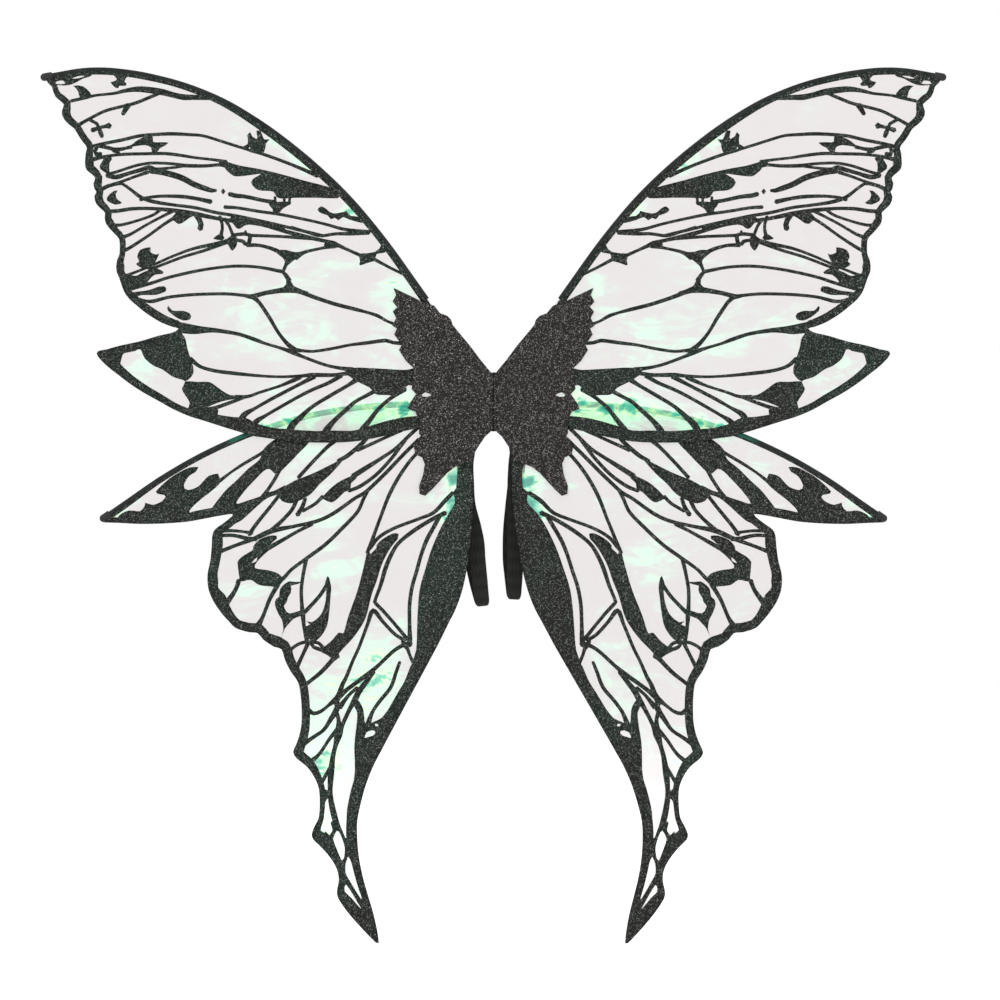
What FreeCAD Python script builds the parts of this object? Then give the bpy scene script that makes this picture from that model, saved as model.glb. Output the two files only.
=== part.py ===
import FreeCAD, Part
import math
import os

# Costume fairy wings: two butterfly-shaped wing panels that fold about a narrow spine,
# a small pad against the wearer's back, and two elastic arm loops.
#
# Row frame: +Z up, +X to the right as seen from behind the wearer, -Y is the decorated
# outer face and +Y points at the wearer's back. The origin is the middle of the pad's
# face that rests on the wearer's back, and Z = 0 is the height of the fold's middle.
#
# Every wing piece is drawn flat, before the fold: X is the distance from the centre
# line (negative on the left wing), Y is the depth behind the patch's outer face, and
# Z is the height. The wing's own Placement then turns it about its fold line.

App = FreeCAD
V = App.Vector

doc = App.newDocument("fairy_wings")

# ---------------------------------------------------------------- driving dimensions
DIMENSIONS = [
    ("fold_angle", 6.0, "angle of each wing behind flat at rest, degrees"),
    ("fold_offset", 2.5, "distance of each fold line from the centre line"),
    ("pad_width", 112.0, "back pad"),
    ("pad_height", 50.0, ""),
    ("pad_corner", 12.0, ""),
    ("cover_thick", 1.2, "felt on the wearer's side"),
    ("foam_thick", 4.8, ""),
    ("fold_gap", 0.3, "clearance between the pad and a wing that lies flat"),
    ("spine_width", 4.4, "cloth tape that closes the gap between the patches"),
    ("spine_top", 26.0, ""),
    ("spine_bottom", -29.0, ""),
    ("spine_recess", 0.2, ""),
    ("patch_thick", 2.0, "glitter foam patch"),
    ("film_thick", 0.3, "iridescent film with its printed border"),
    ("border_thick", 0.2, "glitter border on the film's outer face"),
    ("border_width", 7.4, ""),
    ("upper_film_depth", 2.0, "film's outer face, behind the patch's outer face"),
    ("lower_film_depth", 3.0, ""),
    ("tail_lean", 0.04, "sideways shift of the right lower panel per millimetre of drop"),
    ("lean_from", -110.0, "height where that shift is nothing"),
    ("wire_radius", 1.2, "spring steel frame wire"),
    ("bore_radius", 1.3, "bore of the hem sleeve round the wire"),
    ("sleeve_radius", 2.4, ""),
    ("upper_wire_depth", 3.8, "wire axis, behind the patch's outer face"),
    ("lower_wire_depth", 4.8, ""),
    ("cap_radius", 3.6, "rounded tip cap"),
    ("cap_length", 11.0, ""),
    ("board_depth", 6.0, "root board's front face"),
    ("board_thick", 1.5, ""),
    ("lining_thick", 0.8, "felt over the back of the root board"),
    ("clip_length", 7.0, "saddle clip over a wire"),
    ("clip_width", 6.0, ""),
    ("clip_wall", 0.25, ""),
    ("strap_width", 15.0, "elastic arm loop"),
    ("strap_thick", 1.2, ""),
    ("strap_spacing", 30.0, "distance of each strap's anchors from the centre line"),
    ("tab_length", 17.0, "sewn end of the strap"),
    ("upper_tab_end", 25.5, "height where the upper tab ends and the loop begins"),
    ("lower_tab_end", -27.0, ""),
    ("tab_gap", 0.4, "clearance between a tab's end and the loop's end"),
    ("loop_top", 46.0, ""),
    ("loop_depth", 25.0, "how far the loop stands off the pad"),
    ("left_loop_bottom", -196.0, ""),
    ("right_loop_bottom", -189.0, ""),
    ("left_strap_lean", 6.0, "degrees towards the centre line"),
    ("right_strap_lean", 3.0, ""),
]

sheet = doc.addObject("Spreadsheet::Sheet", "sizes")
for row, (alias, value, note) in enumerate(DIMENSIONS, start=1):
    sheet.set("A%d" % row, alias)
    sheet.set("B%d" % row, str(value))
    sheet.set("C%d" % row, note)
    sheet.setAlias("B%d" % row, alias)
doc.recompute()


def size(alias):
    return float(getattr(sheet, alias))


# The fold line's depth: pad, clearance, then the wing's own layers back to front.
WING_DEPTH = size("board_depth") + size("board_thick") + size("lining_thick")
FOLD_Y = -(size("cover_thick") + size("foam_thick") + size("fold_gap") + WING_DEPTH)

# ------------------------------------------------------------------ flat wing shapes
# Upper frame wire, from its inner end under the patch to the tip.
UPPER_WIRE = [
    (9, 20), (52.2, 79.9), (101.7, 149.4), (135.6, 189.9), (171.8, 223.7), (211.3, 254.2),
    (251, 278.3), (290, 293.6), (329.5, 302.6), (359.7, 305.9), (383, 305.2), (418.4, 298.2),
]
# Lower frame wire, from its inner end to the tip.
LOWER_WIRE = [
    (11, -11), (48, -3.5), (90, -3.8), (129.7, -7), (167, -13), (202.5, -22.8),
    (236.6, -34.9), (275.5, -53), (312, -74.5), (343, -96.5), (364, -111),
]
# Upper panel outside the wire: tip, scalloped margin, cusp, pointed lobe, lower edge.
UPPER_MARGIN = [
    (417, 296), (414.9, 292.4), (411.7, 289.5), (410, 284), (408, 279.8), (403.9, 276.2),
    (400.4, 273), (402.2, 266.5), (402, 262.8), (399.3, 257.8), (395.1, 253.7),
    (390.5, 250), (387.3, 244.5), (383.6, 239), (379.9, 234.5), (379.2, 232.1),
    (380.3, 227.5), (380.9, 217), (379.4, 212.3), (375.3, 208.7), (371.6, 204.8),
    (373.2, 199.5), (372.3, 195), (370.5, 192.1), (372.3, 187.5), (370.7, 181.1),
    (367, 177), (362.4, 172.4), (362.8, 167.7), (361.4, 162.2), (358.7, 158.5),
    (354.1, 153.5), (349.4, 148), (349.1, 134.5), (351.3, 128.9), (352.2, 122.4),
    (351.8, 117.8), (349.4, 112.2), (347.6, 106.7), (344.8, 99.3), (340.2, 92.8),
    (334.7, 87.8), (324.5, 79.5), (311.6, 71.5), (300, 66.9), (294.6, 65.4),
    (299.6, 61.9), (312.6, 58.8), (330.1, 53.5), (350, 49), (360.6, 45.9), (368.5, 44.3),
    (370.2, 42.2), (368, 37.8), (360.2, 29.9), (351.4, 23), (339.4, 13.8), (326.4, 5.4),
    (312.6, -2.2), (299.6, -9.5), (284.8, -16), (270, -20.6), (255.3, -25.3),
    (246.9, -27.9), (236.7, -31), (225, -34.4), (209.6, -36.6), (190, -39.3),
    (170, -40.3), (150, -40.3), (130, -39.1), (112, -36), (94.5, -32.1), (77.6, -27.9),
    (60, -25), (34, -22), (14, -20),
]
# Lower panel outside the wire: tip, notch, scalloped side, tail and inner edge.
LOWER_MARGIN = [
    (363.1, -114.9), (348.7, -115.4), (330.2, -116.3), (308, -115.9), (286.7, -114.3),
    (271.8, -111.7), (254.2, -108.4), (244, -107.5), (251.4, -114.5), (260.7, -121.4),
    (263.2, -127), (263.7, -136), (265, -150), (267.5, -162), (267.7, -170),
    (266.4, -178.5), (262, -188.8), (255.1, -199), (248.3, -206.9), (241.5, -213.5),
    (229.5, -217.5), (221, -218.5), (215.9, -224.4), (205.6, -231.3), (198.8, -233.6),
    (195.4, -243.8), (190.3, -254.1), (183.4, -264.4), (181.1, -274.7), (180, -288.5),
    (180, -302.2), (181.7, -312.5), (185.1, -322.8), (187.9, -329.6), (185.1, -335.3),
    (174.9, -343.9), (168.1, -353.7), (164, -364), (163, -377.8), (164, -391.6),
    (168.1, -400.1), (170.5, -406.9), (169.1, -411.9), (161.3, -419.6), (152.7, -429.9),
    (146.9, -440.3), (145.2, -450.2), (146.9, -460.5), (145.9, -467), (137.3, -479.9),
    (127.1, -492), (116.8, -503), (110, -509.6), (107.6, -509.8), (108.9, -498.8),
    (112.7, -481.5), (117.8, -464.2), (122.6, -447), (126, -429.7), (127.7, -412.5),
    (127.7, -395.3), (124.3, -378.1), (119.5, -360.9), (112.7, -343.7), (103.8, -326.6),
    (92.8, -305.9), (82.6, -287), (72.3, -268), (62, -249.1), (51.8, -230.1),
    (41.5, -209.5), (34.7, -195.8), (28.8, -178.6), (24.4, -157.9), (22, -137.3),
    (20.2, -116), (18.8, -96), (18.5, -60), (16, -44),
]
# Glitter patch over the root: from the top of the fold line round the outer side.
PATCH = [
    (2.8, 26.4), (12.6, 38.2), (22, 50.8), (31.5, 62), (38.5, 70.5), (39.9, 75.2),
    (43.7, 79), (50.3, 81.3), (55.9, 88.3), (60.6, 89.6), (70, 93.4), (80, 98.2),
    (89.8, 102.8), (94, 104.7), (91.7, 98.1), (95, 92), (90.8, 86.9), (94.7, 82.6),
    (91.5, 76.6), (95.3, 69.5), (91, 66.7), (93.4, 61.2), (86.5, 51.3), (88.9, 46.6),
    (82.3, 36.3), (75.2, 29.7), (77.1, 10), (72.9, 5.3), (78.5, -2.8), (80.8, -8.2),
    (73.6, -11.4), (70, -18), (70.1, -31.9), (68.6, -33.5), (75, -43.5), (73.8, -51),
    (67.2, -54.1), (64.7, -60.2), (66.2, -70), (70.1, -81), (69.6, -88.4), (64.4, -90.1),
    (57.8, -84.1), (43.7, -68.7), (36.2, -63), (26.7, -59.3), (18.7, -57.4),
    (18.3, -50.4), (13.6, -42.9), (7.9, -34.4), (2.8, -30),
]
# Small window that the patch leaves open over the film.
PATCH_WINDOW = [(67.6, 4.8), (64.4, 7), (60.6, 6), (58.3, 4.4), (62.5, 2.8), (66.8, 3.1)]
# Stiff board behind the patch, which the wires are clipped to.
ROOT_BOARD = [
    (3.5, 22), (12, 33), (34, 61), (44, 66), (52, 60), (54, 12), (54, -20), (48, -44),
    (36, -56), (20, -50), (10, -34), (3.5, -26),
]
UPPER_SLEEVE_START = 62.5     # distances from the centre line where the sleeves begin
LOWER_SLEEVE_START = 80.0


# ------------------------------------------------------------------ shape functions
def tangent_arcs(points, share=0.45):
    """Straight runs through the points, joined by arcs that are tangent to both runs."""
    edges = []
    start = points[0]
    for before, corner, after in zip(points, points[1:], points[2:]):
        run_in = (before - corner).normalize()
        run_out = (after - corner).normalize()
        turn = math.pi - run_in.getAngle(run_out)
        reach = share * min((before - corner).Length, (after - corner).Length)
        radius = reach / math.tan(turn / 2)
        arc_start = corner + run_in * reach
        arc_end = corner + run_out * reach
        middle_way = (run_in + run_out).normalize()
        arc_middle = corner + middle_way * (radius / math.cos(turn / 2) - radius)
        edges.append(Part.LineSegment(start, arc_start).toShape())
        edges.append(Part.Arc(arc_start, arc_middle, arc_end).toShape())
        start = arc_end
    edges.append(Part.LineSegment(start, points[-1]).toShape())
    return Part.Wire(edges)


def flat_points(outline, side, depth):
    return [V(side * across, depth, height) for across, height in outline]


def beyond(path, limit):
    """The path's points farther out than the limit, starting exactly on it."""
    for (x0, z0), (x1, z1) in zip(path, path[1:]):
        if x0 <= limit < x1:
            share = (limit - x0) / (x1 - x0)
            first = (limit, z0 + share * (z1 - z0))
            return [first] + [p for p in path if p[0] > limit + 8]
    return list(path)


def round_bar(name, path, side, radius_alias, depth):
    """A Part::Sweep of a circle along a tangent-arc path in the wing's plane."""
    points = flat_points(path, side, depth)
    spine = doc.addObject("Part::Feature", name + "_path")
    spine.Shape = tangent_arcs(points)
    circle = doc.addObject("Part::Circle", name + "_section")
    circle.setExpression("Radius", "sizes." + radius_alias)
    circle.Placement = App.Placement(points[0], App.Rotation(V(0, 0, 1), points[1] - points[0]))
    sweep = doc.addObject("Part::Sweep", name)
    sweep.Sections = [circle]
    sweep.Spine = (spine, ["Edge%d" % (i + 1) for i in range(len(spine.Shape.Edges))])
    sweep.Solid = True
    sweep.Frenet = False
    return sweep


def plate_body(name, outlines, side, thickness_alias, depth_alias):
    """A padded sketch in the wing's plane; outlines after the first are windows."""
    body = doc.addObject("PartDesign::Body", name)
    plane = [f for f in body.Origin.OriginFeatures if f.Role == "XZ_Plane"][0]
    sketch = body.newObject("Sketcher::SketchObject", name + "_outline")
    sketch.AttachmentSupport = [(plane, "")]
    sketch.MapMode = "FlatFace"
    if depth_alias:
        sketch.setExpression("AttachmentOffset.Base.z", "-sizes." + depth_alias)
    for outline in outlines:
        corners = [V(side * across, height, 0) for across, height in outline]
        for corner, following in zip(corners, corners[1:] + corners[:1]):
            sketch.addGeometry(Part.LineSegment(corner, following))
    pad = body.newObject("PartDesign::Pad", name + "_pad")
    pad.Profile = sketch
    pad.Reversed = True
    pad.setExpression("Length", "sizes." + thickness_alias)
    return body


def cut(name, base, tools):
    """Base minus each tool, as Part::Cut objects; the last one carries the name."""
    result = base
    for number, tool in enumerate(tools, start=1):
        last = number == len(tools)
        step = doc.addObject("Part::Cut", name if last else "%s_step%d" % (name, number))
        step.Base = result
        step.Tool = tool
        result = step
    return result


def box(name, low, high):
    """A Part::Box from corner to corner, for pieces sized by the sheet's own values."""
    piece = doc.addObject("Part::Box", name)
    piece.Length = high[0] - low[0]
    piece.Width = high[1] - low[1]
    piece.Height = high[2] - low[2]
    piece.Placement.Base = V(*low)
    return piece


nodes = {}


def keep(label, piece, placement=None):
    piece.Label = label
    if placement is not None:
        piece.Placement = placement
    nodes[label] = piece


# ------------------------------------------------------------------------- the wings
def build_wing(word, side):
    placement = App.Placement(
        V(0, FOLD_Y, 0),
        App.Rotation(V(0, 0, 1), -side * size("fold_angle")),
        V(side * size("fold_offset"), 0, 0))

    # Glitter patch with its small window.
    patch = plate_body(word + "_patch_body", [PATCH, PATCH_WINDOW], side, "patch_thick", None)

    for level, wire_path, margin, sleeve_start, inner_end in (
            ("upper", UPPER_WIRE, UPPER_MARGIN, UPPER_SLEEVE_START, (14, 27)),
            ("lower", LOWER_WIRE, LOWER_MARGIN, LOWER_SLEEVE_START, (14, -10.4))):
        tag = word + "_" + level
        wire_depth = size(level + "_wire_depth")
        if tag == "right_lower":      # this tail hangs a little further out than the left one
            margin = [(s + size("tail_lean") * (size("lean_from") - z), z) for s, z in margin]

        # Spring steel wire, and the hem sleeve round it from the patch to the tip.
        wire = round_bar(tag + "_wire", wire_path, side, "wire_radius", wire_depth)
        keep(tag + "_wire", wire, placement)
        sleeve_path = beyond(wire_path, sleeve_start)
        outside = round_bar(tag + "_sleeve_outside", sleeve_path, side, "sleeve_radius", wire_depth)
        inside = round_bar(tag + "_sleeve_bore", wire_path, side, "bore_radius", wire_depth)
        keep(tag + "_sleeve", cut(tag + "_sleeve", outside, [inside]), placement)

        # Rounded cap over the tip: a cylinder and a ball, bored for the sleeve.
        tip = flat_points(wire_path[-1:], side, wire_depth)[0]
        inward = (flat_points(wire_path[-2:-1], side, wire_depth)[0] - tip).normalize()
        barrel = doc.addObject("Part::Cylinder", tag + "_cap_barrel")
        barrel.setExpression("Radius", "sizes.cap_radius")
        barrel.setExpression("Height", "sizes.cap_length - sizes.cap_radius")
        barrel.Placement = App.Placement(tip, App.Rotation(V(0, 0, 1), inward))
        ball = doc.addObject("Part::Sphere", tag + "_cap_ball")
        ball.setExpression("Radius", "sizes.cap_radius")
        ball.Placement.Base = tip
        cap_solid = doc.addObject("Part::Fuse", tag + "_cap_solid")
        cap_solid.Base = barrel
        cap_solid.Tool = ball
        cap_bore = doc.addObject("Part::Cylinder", tag + "_cap_bore")
        cap_bore.setExpression("Radius", "sizes.sleeve_radius")
        cap_bore.setExpression("Height", "sizes.cap_length")
        cap_bore.Placement = App.Placement(tip, App.Rotation(V(0, 0, 1), inward))
        keep(tag + "_tip_cap", cut(tag + "_tip_cap", cap_solid, [cap_bore]), placement)

        # Film panel: it starts inside the sleeve, and the sleeve and cap are cut from it.
        outline = [inner_end] + [p for p in wire_path if p[0] > 40] + margin
        film = plate_body(tag + "_film_body", [outline], side, "film_thick", level + "_film_depth")
        keep(tag + "_film", cut(tag + "_film", film, [outside, cap_solid]), placement)

        # Glitter border: the outline's outer band, clear of the sleeve, cap and patch.
        depth = size(level + "_film_depth") - size("border_thick")
        corners = flat_points(outline, side, depth)
        face = Part.Face(Part.makePolygon(corners + corners[:1]))
        inner = face.makeOffset2D(-size("border_width"), join=0)
        band = face.cut(inner)
        band_sheet = doc.addObject("Part::Feature", tag + "_border_sheet")
        band_sheet.Shape = band.extrude(V(0, size("border_thick"), 0))
        under_patch = plate_body(tag + "_border_trim", [PATCH], side, "board_depth", None)
        keep(tag + "_border",
             cut(tag + "_border", band_sheet, [outside, cap_solid, under_patch]), placement)

    keep(word + "_patch", patch, placement)
    board = plate_body(word + "_root_board", [ROOT_BOARD], side, "board_thick", "board_depth")
    keep(word + "_root_board", board, placement)

    # Felt lining over the board's back; its depth follows the board's two sizes.
    lining = plate_body(word + "_lining", [ROOT_BOARD], side, "lining_thick", None)
    lining_sketch = lining.Group[0]
    lining_sketch.setExpression("AttachmentOffset.Base.z", "-(sizes.board_depth + sizes.board_thick)")
    keep(word + "_lining", lining, placement)

    # Saddle clips, open towards the root board: two over each wire.
    clips = []
    for wire_path, level, stations in ((UPPER_WIRE, "upper", (14, 34)), (LOWER_WIRE, "lower", (6.5, 16.5))):
        depth = size(level + "_wire_depth")
        first, second = flat_points(wire_path[:2], side, depth)
        along = (second - first).normalize()
        turn = App.Rotation(V(1, 0, 0), along)
        front = depth - size("wire_radius") - size("clip_wall")
        for station in stations:
            centre = first + along * station
            block = Part.makeBox(size("clip_length"), size("board_depth") - front, size("clip_width"),
                                 V(-size("clip_length") / 2, front - depth, -size("clip_width") / 2))
            groove = Part.makeCylinder(size("wire_radius"), size("clip_length"),
                                       V(-size("clip_length") / 2, 0, 0), V(1, 0, 0))
            slot = Part.makeBox(size("clip_length"), size("board_depth") - depth, 2 * size("wire_radius"),
                                V(-size("clip_length") / 2, 0, -size("wire_radius")))
            clip = block.cut(groove.fuse(slot).removeSplitter())
            clip.Placement = App.Placement(centre, turn)
            clips.append(clip)
    wire_clips = doc.addObject("Part::Feature", word + "_wire_clips")
    wire_clips.Shape = Part.makeCompound(clips)
    keep(word + "_wire_clips", wire_clips, placement)


build_wing("left", -1)
build_wing("right", 1)


# ------------------------------------------------------------------ back pad and spine
def pad_layer(name, thickness_alias, offset_expression):
    body = doc.addObject("PartDesign::Body", name)
    plane = [f for f in body.Origin.OriginFeatures if f.Role == "XZ_Plane"][0]
    sketch = body.newObject("Sketcher::SketchObject", name + "_outline")
    sketch.AttachmentSupport = [(plane, "")]
    sketch.MapMode = "FlatFace"
    sketch.setExpression("AttachmentOffset.Base.z", offset_expression)
    wide = size("pad_width") / 2
    high = size("pad_height") / 2
    corners = [V(-wide, -high, 0), V(wide, -high, 0), V(wide, high, 0), V(-wide, high, 0)]
    for corner, following in zip(corners, corners[1:] + corners[:1]):
        sketch.addGeometry(Part.LineSegment(corner, following))
    pad = body.newObject("PartDesign::Pad", name + "_pad")
    pad.Profile = sketch
    pad.setExpression("Length", "sizes." + thickness_alias)
    doc.recompute()
    upright = []
    for number, edge in enumerate(pad.Shape.Edges, start=1):
        ends = edge.Vertexes
        if abs(ends[0].Point.y - ends[1].Point.y) > 0.1:
            upright.append("Edge%d" % number)
    fillet = body.newObject("PartDesign::Fillet", name + "_corners")
    fillet.Base = (pad, upright)
    fillet.setExpression("Radius", "sizes.pad_corner")
    body.Tip = fillet
    return body


keep("pad_cover", pad_layer("pad_cover_body", "cover_thick", "0"))
keep("pad_foam", pad_layer("pad_foam_body", "foam_thick", "sizes.cover_thick"))

pad_front = -(size("cover_thick") + size("foam_thick"))
spine = doc.addObject("Part::Box", "spine_box")
spine.setExpression("Length", "sizes.spine_width")
spine.setExpression("Height", "sizes.spine_top - sizes.spine_bottom")
spine.Width = pad_front - FOLD_Y - size("spine_recess")
spine.Placement.Base = V(-size("spine_width") / 2, FOLD_Y + size("spine_recess"), size("spine_bottom"))
keep("spine_tape", spine)


# --------------------------------------------------------------------- elastic straps
def strap_placement(side, lean):
    """Stands the strap's own plane at its anchors; a positive lean closes downwards."""
    turned = App.Rotation(V(0, 1, 0), side * lean)
    return App.Placement(V(side * size("strap_spacing"), 0, 0), turned)


def build_strap(word, side):
    lean = size(word + "_strap_lean")
    bottom = size(word + "_loop_bottom")
    placement = strap_placement(side, lean)
    width = size("strap_width")
    thick = size("strap_thick")

    # Two sewn ends, flat on the pad's cover.
    upper = box(word + "_upper_tab", (-width / 2, 0, size("upper_tab_end") - size("tab_length")),
                (width / 2, thick, size("upper_tab_end")))
    lower = box(word + "_lower_tab", (-width / 2, 0, size("lower_tab_end")),
                (width / 2, thick, size("lower_tab_end") + size("tab_length")))
    tabs = doc.addObject("Part::Compound", word + "_tabs_pair")
    tabs.Links = [upper, lower]
    keep(word + "_strap_tabs", tabs, placement)

    # The loop: its outer face is a rounded path in the strap's own YZ plane, thickened
    # inwards and extruded across the strap's width.
    across = -width / 2
    path = tangent_arcs([
        V(across, 0, size("upper_tab_end") + size("tab_gap")),
        V(across, 0, size("loop_top")),
        V(across, size("loop_depth"), size("loop_top")),
        V(across, size("loop_depth"), bottom),
        V(across, 0, bottom),
        V(across, 0, size("lower_tab_end") - size("tab_gap")),
    ])
    profile = path.makeOffset2D(thick, join=0, fill=True, openResult=True)
    loop = doc.addObject("Part::Feature", word + "_loop_band")
    loop.Shape = profile.extrude(V(width, 0, 0))
    keep(word + "_strap_loop", loop, placement)

    # Thread: two rows of short stitches over each sewn end.
    stitches = []
    for foot in (size("upper_tab_end") - size("tab_length"), size("lower_tab_end")):
        for across in (-width / 2 + 2, width / 2 - 2):
            for number in range(3):
                stitches.append(Part.makeBox(0.5, 0.3, 3, V(across - 0.25, thick, foot + 2 + 5 * number)))
    thread = doc.addObject("Part::Feature", word + "_thread")
    thread.Shape = Part.makeCompound(stitches)
    keep(word + "_strap_thread", thread, placement)


build_strap("left", -1)
build_strap("right", 1)

# --------------------------------------------------------------------- check and write
doc.recompute()
for item in doc.Objects:
    if "Invalid" in item.State or "Error" in item.State:
        raise RuntimeError("failed object: %s %s" % (item.Name, item.State))
for label, piece in nodes.items():
    if piece.Shape.isNull() or not piece.Shape.isValid():
        raise RuntimeError("bad shape: " + label)
    if not piece.Shape.Solids:
        raise RuntimeError("no solid: " + label)

os.makedirs("parts", exist_ok=True)
for label, piece in nodes.items():
    piece.Shape.exportStep(os.path.join("parts", label + ".step"))
    bounds = piece.Shape.BoundBox
    print("%-22s solids %2d volume %10.1f  x %.1f %.1f  y %.1f %.1f  z %.1f %.1f" % (
        label, len(piece.Shape.Solids), piece.Shape.Volume, bounds.XMin, bounds.XMax,
        bounds.YMin, bounds.YMax, bounds.ZMin, bounds.ZMax))
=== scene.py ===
import bpy
import math
import numpy as np
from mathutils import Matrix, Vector, noise
from mathutils.geometry import delaunay_2d_cdt


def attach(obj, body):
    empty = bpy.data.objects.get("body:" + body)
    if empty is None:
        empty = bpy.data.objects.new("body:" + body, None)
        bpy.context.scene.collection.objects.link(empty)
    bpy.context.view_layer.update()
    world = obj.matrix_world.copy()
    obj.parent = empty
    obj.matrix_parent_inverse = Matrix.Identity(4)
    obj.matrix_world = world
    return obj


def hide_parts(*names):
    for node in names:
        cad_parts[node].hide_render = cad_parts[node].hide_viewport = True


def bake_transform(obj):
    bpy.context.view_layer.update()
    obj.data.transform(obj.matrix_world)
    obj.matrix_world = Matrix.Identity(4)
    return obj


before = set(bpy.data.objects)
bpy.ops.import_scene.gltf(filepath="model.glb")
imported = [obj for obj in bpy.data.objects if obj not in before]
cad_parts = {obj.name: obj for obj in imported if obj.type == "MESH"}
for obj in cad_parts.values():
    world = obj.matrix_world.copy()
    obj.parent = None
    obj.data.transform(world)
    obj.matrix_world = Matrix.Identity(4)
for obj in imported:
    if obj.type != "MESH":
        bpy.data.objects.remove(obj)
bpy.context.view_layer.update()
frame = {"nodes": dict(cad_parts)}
bpy.ops.object.select_all(action="DESELECT")
nodes = frame["nodes"]


# ---------------------------------------------------------------------------- studio
# Pale floor, white surroundings, three large soft lights and the camera, level with the
# wings' middle and looking along +Y at their decorated face.
camera = bpy.data.objects.new("camera", bpy.data.cameras.new("camera"))
bpy.context.collection.objects.link(camera)
camera.location = (0.00611, -3.0146, -0.094)
camera.rotation_euler = (math.radians(90), 0, 0)
camera.data.sensor_width = 36
camera.data.lens = 114.9
bpy.context.scene.camera = camera
bpy.context.scene.view_settings.view_transform = "Standard"

world = bpy.data.worlds.new("white_room")
world.use_nodes = True
world.node_tree.nodes["Background"].inputs["Color"].default_value = (1, 1, 1, 1)
world.node_tree.nodes["Background"].inputs["Strength"].default_value = 1.0
bpy.context.scene.world = world

for word, place, aim, wide, watts in (
        ("soft_light_left", (-1.6, -2.2, 1.6), (0, 0, -0.1), 1.2, 34),
        ("soft_light_right", (1.9, -1.8, 0.9), (0, 0, -0.1), 0.9, 20),
        ("soft_light_behind", (0.6, 2.0, 1.8), (0, 0, -0.1), 1.4, 25)):
    lamp = bpy.data.lights.new(word, "AREA")
    lamp.shape = "SQUARE"
    lamp.size = wide
    lamp.energy = watts
    light = bpy.data.objects.new(word, lamp)
    bpy.context.collection.objects.link(light)
    light.location = place
    light.rotation_euler = (Vector(aim) - Vector(place)).to_track_quat("-Z", "Y").to_euler()
    light.visible_camera = False

bpy.ops.mesh.primitive_circle_add(vertices=64, radius=5, fill_type="NGON", location=(0, 0, -0.56))
floor = bpy.context.object
floor.name = "floor"
bpy.ops.object.transform_apply(location=True)
paper = bpy.data.materials.new("pale_paper")
paper.use_nodes = True
paper_shader = paper.node_tree.nodes["Principled BSDF"]
paper_shader.inputs["Base Color"].default_value = (0.93, 0.93, 0.93, 1)
paper_shader.inputs["Roughness"].default_value = 0.9
paper_shader.inputs["Emission Color"].default_value = (1, 1, 1, 1)
paper_shader.inputs["Emission Strength"].default_value = 0.07
floor.data.materials.append(paper)
bpy.ops.object.select_all(action="DESELECT")


# ----------------------------------------------------------------- film panel helpers
# Each panel is drawn flat, in millimetres: the distance from the centre line, and the
# height. A folded wing stands 6 degrees round its fold line, tips towards -Y.
FOLD_ANGLE = math.radians(6.0)
FOLD_OFFSET = 2.5
FOLD_Y = -14.6
GRID = 7.0                    # spacing of the points inside a panel
ROW_SHARE = 0.87              # rows of them are this share of it apart, for even triangles
INK_SPREAD = 0.3              # how far the print runs beyond each drawn vein
SIDES = (("left", -1), ("right", 1))


def folded(side, across, depth, height):
    """The place in metres of a point of the flat wing."""
    out = across - FOLD_OFFSET
    x = FOLD_OFFSET + out * math.cos(FOLD_ANGLE) + depth * math.sin(FOLD_ANGLE)
    y = FOLD_Y - out * math.sin(FOLD_ANGLE) + depth * math.cos(FOLD_ANGLE)
    return Vector((side * x, y, height)) * 0.001


def with_widths(points):
    """Points with a width each; one that gives none keeps the one before it."""
    full, width = [], points[0][2]
    for point in points:
        width = point[2] if len(point) > 2 else width
        full.append((point[0], point[1], width))
    return full


def smooth(points, closed=False, step=3.2):
    """A smooth line through the points (Catmull-Rom), sampled every few millimetres."""
    points = [np.array(p, float) for p in points]
    count = len(points)
    line = []
    for number in range(count if closed else count - 1):
        if closed:
            a, b, c, d = (points[(number + k) % count] for k in (-1, 0, 1, 2))
        else:
            b, c = points[number], points[number + 1]
            a = points[number - 1] if number > 0 else 2 * b - c
            d = points[number + 2] if number + 2 < count else 2 * c - b
        pieces = max(1, int(round(np.linalg.norm((c - b)[:2]) / step)))
        tangent_b, tangent_c = (c - a) / 2, (d - b) / 2
        longest = np.linalg.norm((c - b)[:2])
        for tangent in (tangent_b, tangent_c):
            length = np.linalg.norm(tangent[:2])
            if length > longest > 0:
                tangent *= longest / length
        for part in range(pieces):
            t = part / pieces
            line.append((2 * t**3 - 3 * t**2 + 1) * b + (t**3 - 2 * t**2 + t) * tangent_b
                        + (3 * t**2 - 2 * t**3) * c + (t**3 - t**2) * tangent_c)
    if not closed:
        line.append(points[-1])
    return line


def ribbon(points):
    """The outline of a vein: a smooth line with its own width at each point, and short tips."""
    line = smooth(with_widths(points))
    left, right = [], []
    for number, point in enumerate(line):
        before, after = line[max(number - 1, 0)], line[min(number + 1, len(line) - 1)]
        run = (after - before)[:2]
        run = run / (np.linalg.norm(run) or 1)
        normal = np.array((-run[1], run[0]))
        reach = point[2] / 2 + INK_SPREAD
        left.append(point[:2] + normal * reach)
        right.append(point[:2] - normal * reach)
        if number == 0:
            first = point[:2] - run * point[2] * 0.4
        if number == len(line) - 1:
            last = point[:2] + run * point[2] * 0.4
    return [first] + left + [last] + right[::-1]


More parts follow.
